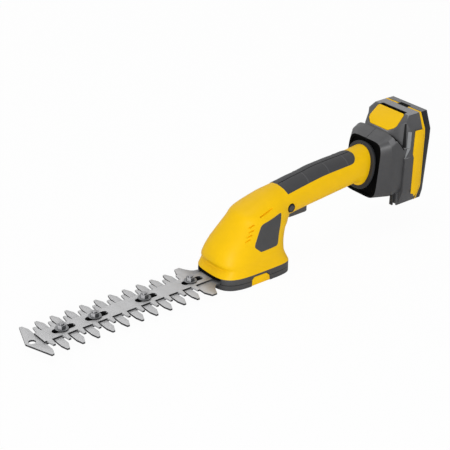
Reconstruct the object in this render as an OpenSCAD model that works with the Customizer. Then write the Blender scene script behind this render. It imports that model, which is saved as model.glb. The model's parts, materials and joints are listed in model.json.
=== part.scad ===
// Cordless garden shears with a double-sided shrub blade
// Frame: X to the rear, Y to the tool's right side, Z up, origin at the middle of the base's underside

/* [Fits] */
// Gap between moving pieces and what they pass
run_gap = 0.4; // [0.35:0.05:0.5]
// Gap round pieces that sit in a pocket
seat_gap = 0.15; // [0.1:0.05:0.25]
// Radial clearance of a shaft in its bush
shaft_fit = 0.04; // [0.02:0.01:0.08]
// How far each cutter runs past the face it cuts
overrun = 1; // [0.5:0.5:2]

/* [Blades] */
// Tooth pitch of both blades
pitch = 17; // [15:0.5:19]
// Wide teeth on each side between the nose and the guard tooth
teeth = 10; // [7:1:11]
// Thickness of each blade
blade_t = 2; // [1.6:0.1:2.2]
// Gap between the two blades
blade_gap = 0.1; // [0.1:0.05:0.2]
// Height of the lower blade's underside
blade_z = 6.5; // [6.3:0.1:7]
// Half width of the lower blade between its teeth
spine_half = 10; // [8:0.5:11]
// Half width where the wide teeth begin to taper
shoulder_half = 22.3; // [21:0.5:25]
// Half width over the tips of the wide teeth
tip_half = 29.9; // [27:0.5:33]
// Width of a wide tooth
tooth_w = 8.25; // [7.75:0.25:9.25]
// Width of a wide tooth's blunt tip
tooth_tip_w = 2.7; // [2:0.1:3.5]
// Length of the arrow nose in front of the first gap
nose_len = 12.3; // [11:0.5:16]
// Radius of the hang hole in the nose
hang_r = 3.6; // [2.5:0.1:3.8]
// Distance of the hang hole behind the nose's apex
hang_back = 7.2; // [7:0.1:8]
// Distance of the guard tooth in front of the base
guard_x = 16.4; // [15:0.5:20]
// How far the guard's wings stand out past the head's sides
guard_half = 0; // [-2.5:0.5:3.5]
// Width of the guard tooth
guard_w = 13.1; // [11:0.5:14]
// Half width of the lower blade's tail
tail_half = 18; // [18:0.25:18.5]
// Length of the lower blade's tail inside the base
tail_len = 65; // [64:0.5:68]
// Half width of the upper blade's bar
bar_half = 9.6; // [9:0.1:10.5]
// Half width over the narrow teeth
narrow_half = 19; // [17:0.5:22]
// Width of a narrow tooth at its root
narrow_w = 5.4; // [4.4:0.2:6.4]
// Width of a narrow tooth at its tip
narrow_tip_w = 2.8; // [2:0.2:4]
// Half width of the upper blade's tail
upper_tail_half = 9.6; // [9:0.2:11]
// Length of each guide slot in the upper blade
slot_len = 25.5; // [20:0.5:28]
// Bolt diameter
bolt_d = 5; // [4:0.5:5]
// Diameter of a bolt's head
bolt_head_d = 9; // [8:0.5:10]
// Height of a bolt's head
bolt_head_h = 1.6; // [1:0.2:2]
// Diameter of a guide bush
bush_d = 7; // [6.5:0.25:7.5]
// Width of a nut across its flats
nut_af = 8; // [7:0.5:9]
// Height of a nut
nut_h = 4; // [3:0.2:5]
// Washer diameter
washer_d = 13.5; // [11:0.5:14]
// Washer thickness
washer_t = 1.2; // [0.8:0.1:1.4]
// Shank diameter of a tail screw
tail_screw_d = 4; // [3:0.5:4]
// Head diameter of a tail screw
tail_head_d = 6; // [5.5:0.25:6]
// Head height of a tail screw
tail_head_h = 2.2; // [1.5:0.1:2.4]
// Distance of the tail screws from the middle line
tail_screw_y = 14.7; // [14.6:0.1:15]

/* [Base] */
// Height of the base cover
base_h = 12.75; // [12.5:0.25:13.25]
// Wall of the base cover
base_wall = 3; // [2.4:0.2:3.4]
// Floor of the base cover
base_floor = 2.4; // [2:0.2:2.6]
// Length of a release tab
tab_len = 24; // [20:1:28]
// Height of a release tab
tab_h = 9.7; // [8:0.1:10]
// Clearance of a release tab above the floor
tab_z = 0.4; // [0.3:0.1:0.8]
// Travel of a release tab
tab_travel = 2.5; // [2:0.25:2.5]
// Width of a release tab's stem
stem_w = 8; // [6:0.5:9]
// Length of a release tab's spring
stem_len = 7.6; // [7:0.2:7.8]

/* [Housing] */
// Reach of the head in front of the middle
head_front = 45.1; // [43:0.5:48]
// Reach of the head behind the middle
head_rear = 44; // [42:0.5:46]
// Width of the head
head_w = 65; // [64:0.5:68]
// Height of the head's shoulder above the floor
shoulder_z = 46; // [44:0.5:48]
// Distance of the handle's start behind the middle
grip_x = 76; // [74:0.5:80]
// Height of the handle's middle at its start
grip_z = 73.7; // [72:0.5:76]
// Distance of the handle's end rim behind the middle
rim_x = 163; // [160:0.5:170]
// Height of the handle's end rim's middle
rim_z = 79; // [78:0.5:80]
// Height of the handle
handle_h = 37.6; // [36:0.4:40]
// Width of the handle
handle_w = 35; // [34:0.5:38]
// Lean of the end rim's top
rim_lean = 4.3; // [3:0.1:5]
// Wall of the housing
shell_wall = 2.8; // [2.6:0.1:3]
// Thickness of the soft grip
grip_t = 1.4; // [1:0.1:1.5]
// Thickness of the side panels
panel_t = 1.2; // [0.8:0.1:1.4]
// Width of a vent groove
vent_w = 1.5; // [1:0.1:1.8]
// Depth of a vent groove
vent_depth = 0.9; // [0.5:0.1:1.2]
// Radius of a screw boss
boss_r = 4; // [3.8:0.1:4.4]
// Shank diameter of a housing screw
screw_d = 3; // [2.5:0.25:3]
// Head diameter of a housing screw
screw_head_d = 5.6; // [5:0.2:6]
// Head height of a housing screw
screw_head_h = 2.2; // [1.5:0.1:2.6]
// Height of a screw's seat above the parting plane
screw_seat = 6; // [5:0.5:7]

/* [Drive] */
// Module of the gears
gear_module = 0.8; // [0.75:0.025:0.825]
// Teeth of the pinion
pinion_teeth = 12; // [12:1:13]
// Teeth of the crank gear
gear_teeth = 44; // [42:1:45]
// Thinning of each tooth for backlash
backlash = 0.16; // [0.12:0.02:0.2]
// Distance of the crank's axis in front of the middle
crank_x = 10; // [9:0.25:10.5]
// Throw of the crank, half of the blade's stroke
throw = 5; // [4:0.25:5]
// Diameter of the crank pin
crank_pin_d = 4; // [3:0.5:4]
// Diameter of the crank roller
roller_d = 7; // [6:0.5:7.5]
// Play of the roller in the yoke, each side
yoke_play = 1.4; // [1.4:0.05:1.6]
// Metal round the yoke's slot
yoke_rim = 3.6; // [3:0.2:4]
// Height of the crank gear's underside
gear_z = 15.2; // [15:0.1:15.6]
// Thickness of the crank gear
gear_t = 6; // [5:0.25:6.5]
// Thickness of the pinion
pinion_t = 5; // [4:0.25:5.5]
// Diameter of the crank shaft
crank_d = 8; // [6:0.5:8]
// Outer diameter of the crank bush
crank_bush_d = 12; // [11:0.5:12.5]
// Length of the crank bush
crank_bush_len = 8; // [6:0.5:9]
// Outer diameter of the shaft clip
clip_d = 11.4; // [10:0.2:12]
// Thickness of the shaft clip
clip_t = 1; // [0.8:0.1:1.4]
// Height of the gear plate's underside
plate_z = 24; // [24:0.1:24.4]
// Thickness of the gear plate
plate_t = 3; // [2:0.25:3]
// Diameter of the motor
motor_d = 28; // [24:0.5:29]
// Length of the motor's can
can_len = 36; // [32:0.5:38]
// Wall of the motor's can
can_wall = 1.2; // [1:0.1:1.5]
// Thickness of the motor's end cap
cap_t = 4; // [3:0.25:5]
// Thickness of the motor's magnets
magnet_t = 3; // [2:0.25:3]
// Length of the armature
rotor_len = 20; // [16:0.5:20]
// Diameter of the armature
rotor_d = 18.6; // [16:0.2:18.6]
// Diameter of the commutator
commutator_d = 8; // [6:0.5:10]
// Length of the commutator
commutator_len = 7; // [5:0.5:7]
// Diameter of the motor's shaft
shaft_d = 3.2; // [3:0.1:3.4]
// Outer diameter of the motor's bushes
motor_bush_d = 8; // [7:0.25:9]
// Length of the motor's bushes
motor_bush_len = 4; // [3:0.25:4]
// Distance of the motor's screws from its axis
motor_screw_y = 8.4; // [8.2:0.1:9]

/* [Controls] */
// Front end of the trigger
trigger_x = 57.6; // [57.4:0.1:58.2]
// Length of the trigger
trigger_len = 25.2; // [24:0.2:25.6]
// Width of the trigger
trigger_w = 13; // [11:0.5:13.5]
// Height of the trigger's underside
trigger_z = 48; // [47:0.2:49]
// Height of the trigger's back
trigger_back_z = 59.5; // [59:0.1:60]
// Height of the trigger's pivot
pivot_z = 61; // [60.6:0.1:61.4]
// Distance of the pivot behind the trigger's front end
pivot_back = 3.4; // [3.2:0.1:4]
// Diameter of the trigger's pin
pivot_d = 4; // [3:0.5:4]
// Length of the switch
switch_len = 26; // [22:0.5:27]
// Width of the switch
switch_w = 17; // [15:0.5:18]
// Height of the switch
switch_h = 11.5; // [10:0.5:12]
// Height of the switch's underside
switch_z = 65.5; // [65:0.1:66]
// Diameter of the switch's plunger
plunger_d = 4; // [3:0.25:4.5]
// Distance of the plunger behind the trigger's pivot
plunger_back = 16; // [15:0.25:16.5]
// Diameter of the lock-off button
lock_d = 9; // [8:0.25:9.5]
// Distance of the lock-off button behind the middle
lock_x = 49.5; // [49:0.25:50]
// Height of the lock-off button
lock_z = 66.6; // [66:0.2:67.4]
// How far the lock-off button stands out
lock_proud = 0.9; // [0.5:0.1:1.2]
// Gap round the lock-off button
lock_ring = 0.7; // [0.5:0.05:0.9]
// Diameter of the lock-off button's collar
lock_collar_d = 13; // [12:0.25:13.5]
// Wire of the springs
wire_d = 0.7; // [0.6:0.05:0.8]

/* [Adapter] */
// Distance of the adapter's front rim behind the handle's end rim
adapt_back = 6.2; // [6:0.1:6.6]
// Length of the adapter
adapt_len = 30.3; // [30:0.1:30.4]
// Height of the adapter's underside
adapt_z = 41.2; // [41:0.1:42]
// Height of the adapter
adapt_h = 75.3; // [75:0.1:75.6]
// Lean of the adapter's front rim
adapt_tilt = 5.4; // [4:0.2:6]
// Half width of the adapter
adapt_half = 32.6; // [32.4:0.1:33]
// Wall of the adapter
adapt_wall = 2.8; // [2.4:0.1:3]
// Half width of the collar ring
ring_half = 22; // [21:0.25:22.5]
// Half height of the collar ring
ring_half_h = 26.9; // [26:0.25:27.5]
// Thickness of the collar ring
ring_t = 3.8; // [3.2:0.1:3.9]
// Half width of the neck behind the ring
neck_half = 18; // [16:0.5:18.5]
// Half height of the neck behind the ring
neck_half_h = 22.5; // [21:0.5:23]
// Recess of the adapter's front plate behind the rim
plate_recess = 1.5; // [1.4:0.1:2]
// Thickness of the front plate and the rail plate
rail_plate_t = 3; // [2.4:0.1:3]
// Distance of the rail plate in front of the battery
rail_plate_back = 3.8; // [3.6:0.1:4]
// Thickness of a rail
rail_t = 3.2; // [2.6:0.1:3.4]
// Reach of a rail from the side wall
rail_reach = 3; // [2:0.25:3]
// Distance of the rails behind the battery's front
rail_back = 4.2; // [4:0.1:4.6]
// Height of the rails' lower end
rail_z = 52; // [50:0.5:54]
// Length of the rails
rail_len = 44; // [40:0.5:44]
// Thickness of a terminal blade
terminal_t = 0.8; // [0.6:0.1:1]
// Reach of a terminal blade from the rail plate
terminal_reach = 9; // [7:0.25:9]
// Height of a terminal blade
terminal_h = 14; // [10:0.5:15]
// Spacing of the terminal blades
terminal_gap = 10; // [8:0.25:11]

/* [Battery] */
// Half width of the battery's front part
batt_neck_half = 29.4; // [28.6:0.1:29.5]
// Half width of the battery's front part under the button
batt_top_half = 25.2; // [24.4:0.2:25.6]
// Depth of the battery's front part
batt_neck = 12.1; // [12:0.1:12.4]
// Depth of the front case's wide part
batt_front = 26.7; // [26:0.1:27.2]
// Depth of the rear case
batt_back = 9.4; // [9:0.1:11]
// Height of the battery's underside
batt_z = 29; // [28:0.25:29.5]
// Height of the battery
batt_h = 105.3; // [104.8:0.1:107]
// Half width of the battery
batt_half = 34.5; // [34.4:0.1:35]
// Wall of the battery's cases
batt_wall = 2; // [1.6:0.1:2]
// Thickness of the yellow stripe
stripe_t = 1.2; // [0.8:0.1:1.4]
// Width of the bevel at the front case's shoulders
bevel_w = 8; // [6:0.5:9]
// How far the stripe stands out
stripe_proud = 0.2; // [0.1:0.05:0.4]
// Thickness of a side label
label_t = 0.5; // [0.3:0.1:0.7]
// Height of the slope's foot below the battery's top
slope_z = 18.8; // [18.3:0.1:19.3]
// Angle of the slope under the button
slope_angle = 41; // [40:0.5:42]
// Length of the button along the slope
button_len = 24.6; // [22:0.2:24.8]
// Half width of the button
button_half = 20.8; // [19:0.2:21.2]
// Thickness of the button
button_t = 3.4; // [3:0.1:3.6]
// How far the button stands out
button_proud = 0.6; // [0.3:0.1:0.8]
// Travel of the button
button_travel = 2.5; // [2:0.1:2.6]
// Width of the finger slot behind the button
finger_w = 2.6; // [2:0.2:3]
// Depth of the finger slot
finger_depth = 4; // [3:0.2:4.4]
// Diameter of a cell
cell_d = 18.3; // [17.8:0.1:18.4]
// Length of a cell
cell_len = 50; // [48:0.5:52]
// Spacing of the cells
cell_gap = 19; // [18.9:0.05:19.1]
// Height of the lowest cell's middle above the battery's bottom
cell_z = 13; // [12.8:0.1:13.4]
// Distance of the cells' axes behind the battery's front
cell_x = 31.7; // [31.4:0.1:31.8]
// Thickness of the battery's board
board_t = 1.6; // [1.2:0.1:2]

/* [Hidden] */
$fa = 7.5;
$fs = 0.4;

// Blades
guard_mid = -head_front - guard_x;
guard_reach = head_w / 2 + guard_half;
blade_run = (teeth + 1.07) * pitch;
nose_x = guard_mid - blade_run;
apex_x = nose_x - nose_len;
upper_z = blade_z + blade_t + blade_gap;
bush_h = blade_t + blade_gap + seat_gap;
washer_z = blade_z + blade_t + bush_h;
nut_z = washer_z + washer_t;
slot_back_share = 0.082;
// Narrow teeth's place in each pitch and the upper blade's front edge behind the nose
narrow_share = 0.485;
front_share = 0.244;
// Wide teeth's place in each pitch
tooth_share = 0.03;
nut_shares = [0.1473, 0.3478, 0.6603, 0.9657];
nose_shares = [[-1, 0], [-0.13, 1.01], [0.106, 0.99], [0.325, 0.742]];
guard_shares = [[-0.52, 0.74], [-0.23, 1], [0.23, 1], [0.48, 0.79], [0.69, 0.655], [0.92, 0.58]];
tail_screw_shares = [-0.73, 0.295];
mouth_z = blade_z - run_gap / 2;

// Gears and crank
gear_x = -crank_x;
centre_gap = gear_module * (pinion_teeth + gear_teeth) / 2;
motor_x = gear_x + centre_gap;
plate_top = plate_z + plate_t;
can_top = plate_top + can_len;
motor_top = can_top + cap_t;
roller_z = blade_z + blade_t + run_gap;
yoke_half = roller_d / 2 + yoke_play;
yoke_half_y = throw + roller_d / 2 + run_gap;
pinion_z = gear_z + (gear_t - pinion_t) / 2;
bush_bottom = gear_z + gear_t + 2 * run_gap;
clip_z = bush_bottom + crank_bush_len + run_gap;
addendum_share = 0.8;
dedendum_share = 1.1;
pressure_angle = 20;

// Housing stations as shares: height, front, rear, width, front roundness, rear roundness
head_shares = [
  [0, 1, 1, 1, 3.4, 6],
  [0.113, 0.949, 0.968, 0.978, 3.3, 5.5],
  [0.203, 0.896, 0.943, 0.966, 3.2, 5],
  [0.263, 0.891, 0.932, 0.960, 3.1, 4.8],
  [0.338, 0.945, 0.916, 0.957, 3, 4.5],
  [0.459, 0.971, 0.925, 0.951, 2.7, 4],
  [0.699, 0.909, 0.966, 0.908, 2.5, 3.5],
  [1, 0.756, 1.066, 0.840, 2.4, 3]
];
// Crown stations between shoulder and handle: front x, front z, rear x, rear z, width, roundnesses
crown_shares = [
  [0.156, 0.357, 0.114, 0.517, 0.163, 2.35, 2.8],
  [0.254, 0.591, 0.166, 0.697, 0.286, 2.3, 2.6],
  [0.519, 0.806, 0.208, 0.787, 0.602, 2.3, 2.4],
  [0.683, 0.890, 0.270, 0.809, 0.847, 2.3, 2.3]
];
// Handle stations: distance, rise, half height, lean, width, roundness
handle_shares = [
  [0, 0, 1, -0.395, 1, 2.3],
  [0.276, 0.528, 1.037, -0.395, 1, 2.3],
  [0.621, 0.972, 0.992, -0.395, 1.006, 2.3],
  [0.851, 1.245, 0.968, -0.395, 1.029, 2.3],
  [1, 1, 1.202, 1, 1, 2.2]
];
// Adapter stations: top's distance and height, bottom's distance and height, width, roundness
adapter_shares = [
  [0.099, 0.896, -0.099, 0.030, 0.760, 6],
  [0.356, 0.959, 0.571, 0.004, 0.994, 5.5],
  [0.554, 1, 0.620, 0, 1, 5.5],
  [1, 1, 1, 0, 1, 5.5]
];
// Side panel's outline as shares of the head's rear reach and the shoulder's height
panel_shares = [
  [0.725, 1.483], [0.745, 1.439], [0.564, 0.807], [0.514, 0.765], [0.027, 0.757],
  [-0.002, 0.770], [-0.139, 0.893], [-0.136, 0.948], [0.095, 1.326], [0.173, 1.372]
];
// Vent grooves' ends in the same shares
vent_shares = [
  [0.139, 1.515, 0.500, 1.620],
  [-0.186, 1.324, -0.064, 1.374],
  [-0.211, 1.239, -0.098, 1.272],
  [-0.284, 1.146, -0.166, 1.178],
  [-0.345, 1.057, -0.234, 1.093]
];
// Screw bosses: station and place along the section from rear end to front end
boss_shares = [[6.4, 0.64], [8, -0.58], [11.6, 0.5], [13.13, 0], [14.55, 0]];
// Release tab's outline as shares of its length and height
tab_shares = [[-0.52, 0], [-0.51, 0.71], [-0.38, 1], [0.27, 0.97], [0.435, 0.63], [0.47, 0]];
// Trigger's side view as shares of its length and height
trigger_shares = [
  [0, 0.2], [0.02, 0.02], [0.1, 0], [0.93, 0.02], [1, 0.1], [1, 1],
  [0.36, 1], [0.26, 1.36], [0, 1.36]
];
// Battery's outline seen from behind as shares of half width and height
battery_shares = [[0.75, 1], [0.985, 0.836], [1, 0.78], [1, 0.19], [0.84, 0.02], [0.78, 0]];
// The same outline at the rear face
rear_shares = [[0.75, 1], [0.97, 0.82], [0.965, 0.71], [0.905, 0.5], [0.865, 0.24], [0.855, 0.1], [0.78, 0]];
// Side label's outline as shares of the front case's wide part and the battery's height
label_shares = [
  [0.46, 0.84], [0.49, 0.85], [0.975, 0.842], [0.975, 0.2], [0.83, 0.11], [0.70, 0.085], [0.66, 0.115],
  [0.50, 0.130], [0.50, 0.545], [0.432, 0.585]
];
// Release button's outline as shares of half width and length along the slope
button_shares = [[0.62, 0], [0.68, 0.03], [0.94, 0.22], [1, 0.36], [0.94, 0.94], [0.86, 1]];
// Grip's front station, the start of its rounded end, its rear station and its lower edge's angle
grip_start_share = 11.17;
grip_bend_share = 14.35;
grip_end_share = 15;
grip_angle = 54;

// Controls
pivot_x = trigger_x + pivot_back;
plunger_x = pivot_x + plunger_back;
switch_x = pivot_x + 2 * pivot_d;
handle_end_angle = atan2(rim_lean, handle_h / 2 * handle_shares[4][2]);

// Adapter and battery
adapt_x = rim_x + adapt_back;
batt_x = adapt_x + adapt_len - batt_neck + run_gap;
rail_plate_x = batt_x - rail_plate_back;
rail_x = batt_x + rail_back;
seam_x = batt_x + batt_neck + batt_front;
rear_x = seam_x + stripe_t;
batt_end = rear_x + batt_back;
batt_top = batt_z + batt_h;
slope_foot = batt_top - slope_z;

// Colours
yellow = [0.93, 0.73, 0.08];
dark = [0.16, 0.16, 0.17];
black = [0.05, 0.05, 0.05];
steel = [0.68, 0.68, 0.70];
bronze = [0.66, 0.48, 0.22];
green = [0.10, 0.34, 0.18];

// Shared functions
function mix(a, b, s) = a + (b - a) * s;
function bend(c, n) = sign(c) * pow(abs(c), 2 / n);
function head_station(h) = [
  -head_front * h[1], mix(base_h, shoulder_z, h[0]),
  head_rear * h[2], mix(base_h, shoulder_z, h[0]),
  head_w / 2 * h[3], h[4], h[5]];
function handle_station(h) = let(
  x = mix(grip_x, rim_x, h[0]),
  z = mix(grip_z, rim_z, h[1]),
  dz = handle_h / 2 * h[2],
  dx = rim_lean * h[3])
  [x + dx, z + dz, x - dx, z - dz, handle_w / 2 * h[4], h[5], h[5]];
function crown_station(h) = let(
  a = head_station(head_shares[7]),
  b = handle_station(handle_shares[0]))
  [mix(a[0], b[0], h[0]), mix(a[1], b[1], h[1]), mix(a[2], b[2], h[2]), mix(a[3], b[3], h[3]),
  mix(a[4], b[4], h[4]), h[5], h[6]];
function adapter_station(h) = [
  adapt_x + adapt_len * h[0], adapt_z + adapt_h * h[1],
  adapt_x + adapt_len * h[2], adapt_z + adapt_h * h[3], adapt_half * h[4], h[5], h[5]];
housing_stations = [
  for (h = head_shares) head_station(h),
  for (h = crown_shares) crown_station(h),
  for (h = handle_shares) handle_station(h)];
adapter_stations = [for (h = adapter_shares) adapter_station(h)];

// Smooth curve through a list of stations
function curve(p, u) = let(
  i = max(0, min(floor(u), len(p) - 2)),
  t = u - i,
  a = p[max(i - 1, 0)],
  b = p[i],
  c = p[i + 1],
  d = p[min(i + 2, len(p) - 1)])
  (2 * b + (c - a) * t + (2 * a - 5 * b + 4 * c - d) * t * t + (3 * b - a - 3 * c + d) * t * t * t) / 2;
function station(u) = curve(housing_stations, u);

// Point on a section at an angle from its front end, drawn in by an inset
function rim_point(s, angle, inset) = let(
  n = cos(angle) >= 0 ? s[5] : s[6],
  half = [s[0] - s[2], s[1] - s[3]] / 2,
  k = 1 - inset / norm(half),
  c = bend(cos(angle), n))
  [(s[0] + s[2]) / 2 + half[0] * k * c,
  (s[4] - inset) * bend(sin(angle), n),
  (s[1] + s[3]) / 2 + half[1] * k * c];
function section_place(u, share) = let(s = station(u))
  [mix((s[0] + s[2]) / 2, s[0], share), mix((s[1] + s[3]) / 2, s[1], share)];

// Half width of the housing's skin at a place on its side
function beyond(s, x, z) = (s[0] - s[2]) * (z - s[3]) - (s[1] - s[3]) * (x - s[2]) < 0;
function find_station(x, z, low, high, k) = k == 0 ? (low + high) / 2 : let(m = (low + high) / 2)
  beyond(station(m), x, z) ? find_station(x, z, m, high, k - 1) : find_station(x, z, low, m, k - 1);
function skin_y(x, z) = let(
  s = station(find_station(x, z, 0, len(housing_stations) - 1, 14)),
  half = [s[0] - s[2], s[1] - s[3]] / 2,
  mid = [s[0] + s[2], s[1] + s[3]] / 2,
  c = ((x - mid[0]) * half[0] + (z - mid[1]) * half[1]) / (half * half),
  n = c >= 0 ? s[5] : s[6])
  s[4] * pow(max(0, 1 - pow(abs(c), n)), 1 / n);

// Closed solid from rings of points: joined in order, ends closed as strips between both halves
module ring_solid(rings) {
  m = len(rings[0]);
  n = len(rings);
  half = m / 2;
  points = [for (r = rings) for (p = r) p];
  sides = [for (i = [0:n - 2]) for (j = [0:m - 1]) let(
    a = i * m + j,
    b = i * m + (j + 1) % m,
    c = a + m,
    d = b + m)
    for (f = [[a, b, c], [b, d, c]]) f];
  front = [for (j = [0:half - 2]) let(a = j, b = j + 1, c = m - 1 - j, d = m - 2 - j)
    for (f = [[a, c, b], [b, c, d]]) f];
  top = (n - 1) * m;
  back = [for (f = front) [top + f[0], top + f[2], top + f[1]]];
  polyhedron(points, concat(sides, front, back), convexity = 6);
}

// Right half of a hollow shell through stations, cut flat at the middle plane
module half_shell(stations, wall, steps, count) {
  rings = [for (i = [0:steps * (len(stations) - 1)]) let(s = curve(stations, i / steps)) concat(
    [for (k = [0:count]) rim_point(s, 180 * k / count, 0)],
    [for (k = [count:-1:0]) rim_point(s, 180 * k / count, wall)])];
  ring_solid(rings);
}

// Right half of the solid inside a shell's skin, drawn in by an inset
module half_core(stations, inset, steps, count) {
  rings = [for (i = [0:steps * (len(stations) - 1)]) let(s = curve(stations, i / steps)) concat(
    [for (k = [0:count]) rim_point(s, 180 * k / count, inset)],
    [for (k = [count:-1:0]) let(p = rim_point(s, 180 * k / count, inset)) [p[0], -overrun, p[2]]])];
  ring_solid(rings);
}

// Prism along Y from a side view of points in X and Z
module side_prism(points, y_from, y_to) {
  translate([0, y_to, 0])
    rotate([90, 0, 0])
      linear_extrude(y_to - y_from)
        polygon(points);
}

// Cylinder along Y
module cross_rod(x, z, d, y_from, y_to) {
  translate([x, y_from, z])
    rotate([-90, 0, 0])
      cylinder(d = d, h = y_to - y_from);
}

// Straight slot through a plate, rounded at both ends
module slot_cut(x_from, x_to, y, w, z_from, z_to) {
  translate([x_from + w / 2, y, z_from])
    cylinder(d = w, h = z_to - z_from);
  translate([x_to - w / 2, y, z_from])
    cylinder(d = w, h = z_to - z_from);
  translate([x_from + w / 2, y - w / 2, z_from])
    cube([x_to - x_from - w, w, z_to - z_from]);
}

// Coil spring along Z
module coil(d, length, turns) {
  r = (d - wire_d) / 2;
  steps = 12 * turns;
  sides = 6;
  rise = length - wire_d;
  lean = atan2(rise / turns, 2 * PI * r);
  points = [for (i = [0:steps]) for (k = [0:sides - 1]) let(
    a = 360 * turns * i / steps,
    b = 360 * k / sides,
    out = wire_d / 2 * cos(b),
    up = wire_d / 2 * sin(b))
    [(r + out) * cos(a) + up * sin(lean) * sin(a),
    (r + out) * sin(a) - up * sin(lean) * cos(a),
    wire_d / 2 + rise * i / steps + up * cos(lean)]];
  walls = [for (i = [0:steps - 1]) for (k = [0:sides - 1]) let(
    a = i * sides + k,
    b = i * sides + (k + 1) % sides,
    c = a + sides,
    e = b + sides)
    for (f = [[a, b, c], [b, e, c]]) f];
  first = [for (k = [1:sides - 2]) [0, k + 1, k]];
  last = [for (k = [1:sides - 2]) [steps * sides, steps * sides + k, steps * sides + k + 1]];
  polyhedron(points, concat(walls, first, last), convexity = 6);
}

// Gear of involute teeth, seen from above
function involute(a) = tan(a) * 180 / PI - a;
function flank_angle(r, r_pitch, r_base, half) = half + involute(pressure_angle)
  - (r > r_base ? involute(acos(r_base / r)) : 0);
module gear_outline(count) {
  r_pitch = gear_module * count / 2;
  r_base = r_pitch * cos(pressure_angle);
  r_tip = r_pitch + gear_module * addendum_share;
  r_root = r_pitch - gear_module * dedendum_share;
  half = 90 / count - backlash / 2 / r_pitch * 180 / PI;
  radii = [r_root, max(r_base, r_root), mix(max(r_base, r_root), r_tip, 1 / 3),
    mix(max(r_base, r_root), r_tip, 2 / 3), r_tip];
  polygon([for (i = [0:count - 1]) let(mid = 360 * i / count) each concat(
    [for (r = radii) let(a = mid - flank_angle(r, r_pitch, r_base, half)) r * [cos(a), sin(a)]],
    [for (k = [len(radii) - 1:-1:0]) let(
      r = radii[k],
      a = mid + flank_angle(r, r_pitch, r_base, half)) r * [cos(a), sin(a)]])]);
}

// Plan of the base and of the plates, drawn in by an inset
module plan_outline(s, inset) {
  polygon([for (a = [0:5:355]) let(p = rim_point(s, a, inset)) [p[0], p[1]]]);
}

// Patch that follows the housing's right side: outline in X and Z, from one depth to another
module side_patch(outline, depth_in, depth_out) {
  n = len(outline);
  middle = [for (axis = [0, 1]) [for (p = outline) p[axis]] * [for (p = outline) 1] / n];
  scales = [1, 0.72, 0.4];
  flat = concat([for (k = scales) for (p = outline) middle + (p - middle) * k], [middle]);
  skins = [for (p = flat) skin_y(p[0], p[1])];
  count = len(flat);
  points = concat(
    [for (i = [0:count - 1]) [flat[i][0], skins[i] + depth_out, flat[i][1]]],
    [for (i = [0:count - 1]) [flat[i][0], skins[i] - depth_in, flat[i][1]]]);
  outer = concat(
    [for (k = [0:len(scales) - 2]) for (i = [0:n - 1]) let(
      a = k * n + i,
      b = k * n + (i + 1) % n,
      c = a + n,
      d = b + n)
      for (f = [[a, c, b], [b, c, d]]) f],
    [for (i = [0:n - 1]) let(k = (len(scales) - 1) * n) [k + i, count - 1, k + (i + 1) % n]]);
  inner = [for (f = outer) [count + f[0], count + f[2], count + f[1]]];
  wall = [for (i = [0:n - 1]) let(j = (i + 1) % n)
    for (f = [[i, j, count + i], [j, count + j, count + i]]) f];
  polyhedron(points, concat(outer, inner, wall), convexity = 4);
}
function finer(p, k) = [for (i = [0:len(p) - 1]) for (j = [0:k - 1])
  mix(p[i], p[(i + 1) % len(p)], j / k)];
panel_points = finer([for (p = panel_shares) [p[0] * head_rear, p[1] * shoulder_z]], 3);
panel_middle = [for (axis = [0, 1]) [for (p = panel_points) p[axis]] * [for (p = panel_points) 1]
  / len(panel_points)];
function grown(p, d) = [for (q = p) q + (q - panel_middle) * d / norm(q - panel_middle)];

// Patch of the soft grip over the handle's right side, between two insets
function grip_edge(u, extra) = (grip_angle + extra) * (u < grip_bend_share ? 1
  : sqrt(max(0.05, 1 - pow((u - grip_bend_share) / (grip_end_share - grip_bend_share), 2))));
module grip_patch(inset_out, inset_in, extra_angle, extra_end) {
  rows = 22;
  columns = 8;
  side = columns + 1;
  layer = (rows + 1) * side;
  first = grip_start_share - extra_end;
  last = grip_end_share + extra_end;
  points = [for (inset = [inset_out, inset_in]) for (i = [0:rows]) for (k = [0:columns]) let(
    u = mix(first, last, i / rows),
    v = min(u, grip_end_share))
    rim_point(station(u), grip_edge(v, extra_angle) * k / columns, inset)];
  outer = [for (i = [0:rows - 1]) for (k = [0:columns - 1]) let(
    a = i * side + k,
    b = a + 1,
    c = a + side,
    d = c + 1)
    for (f = [[a, b, c], [b, d, c]]) f];
  inner = [for (f = outer) [layer + f[0], layer + f[2], layer + f[1]]];
  long = [for (i = [0:rows - 1]) let(a = i * side, b = a + side, c = a + columns, d = b + columns)
    for (f = [[a, b, layer + a], [b, layer + b, layer + a], [c, layer + c, d], [d, layer + c, layer + d]])
      f];
  ends = [for (k = [0:columns - 1]) let(a = k, b = k + 1, c = rows * side + k, d = c + 1)
    for (f = [[a, layer + a, b], [b, layer + a, layer + b], [c, d, layer + c], [d, layer + d, layer + c]])
      f];
  polyhedron(points, concat(outer, inner, long, ends), convexity = 6);
}

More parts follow.
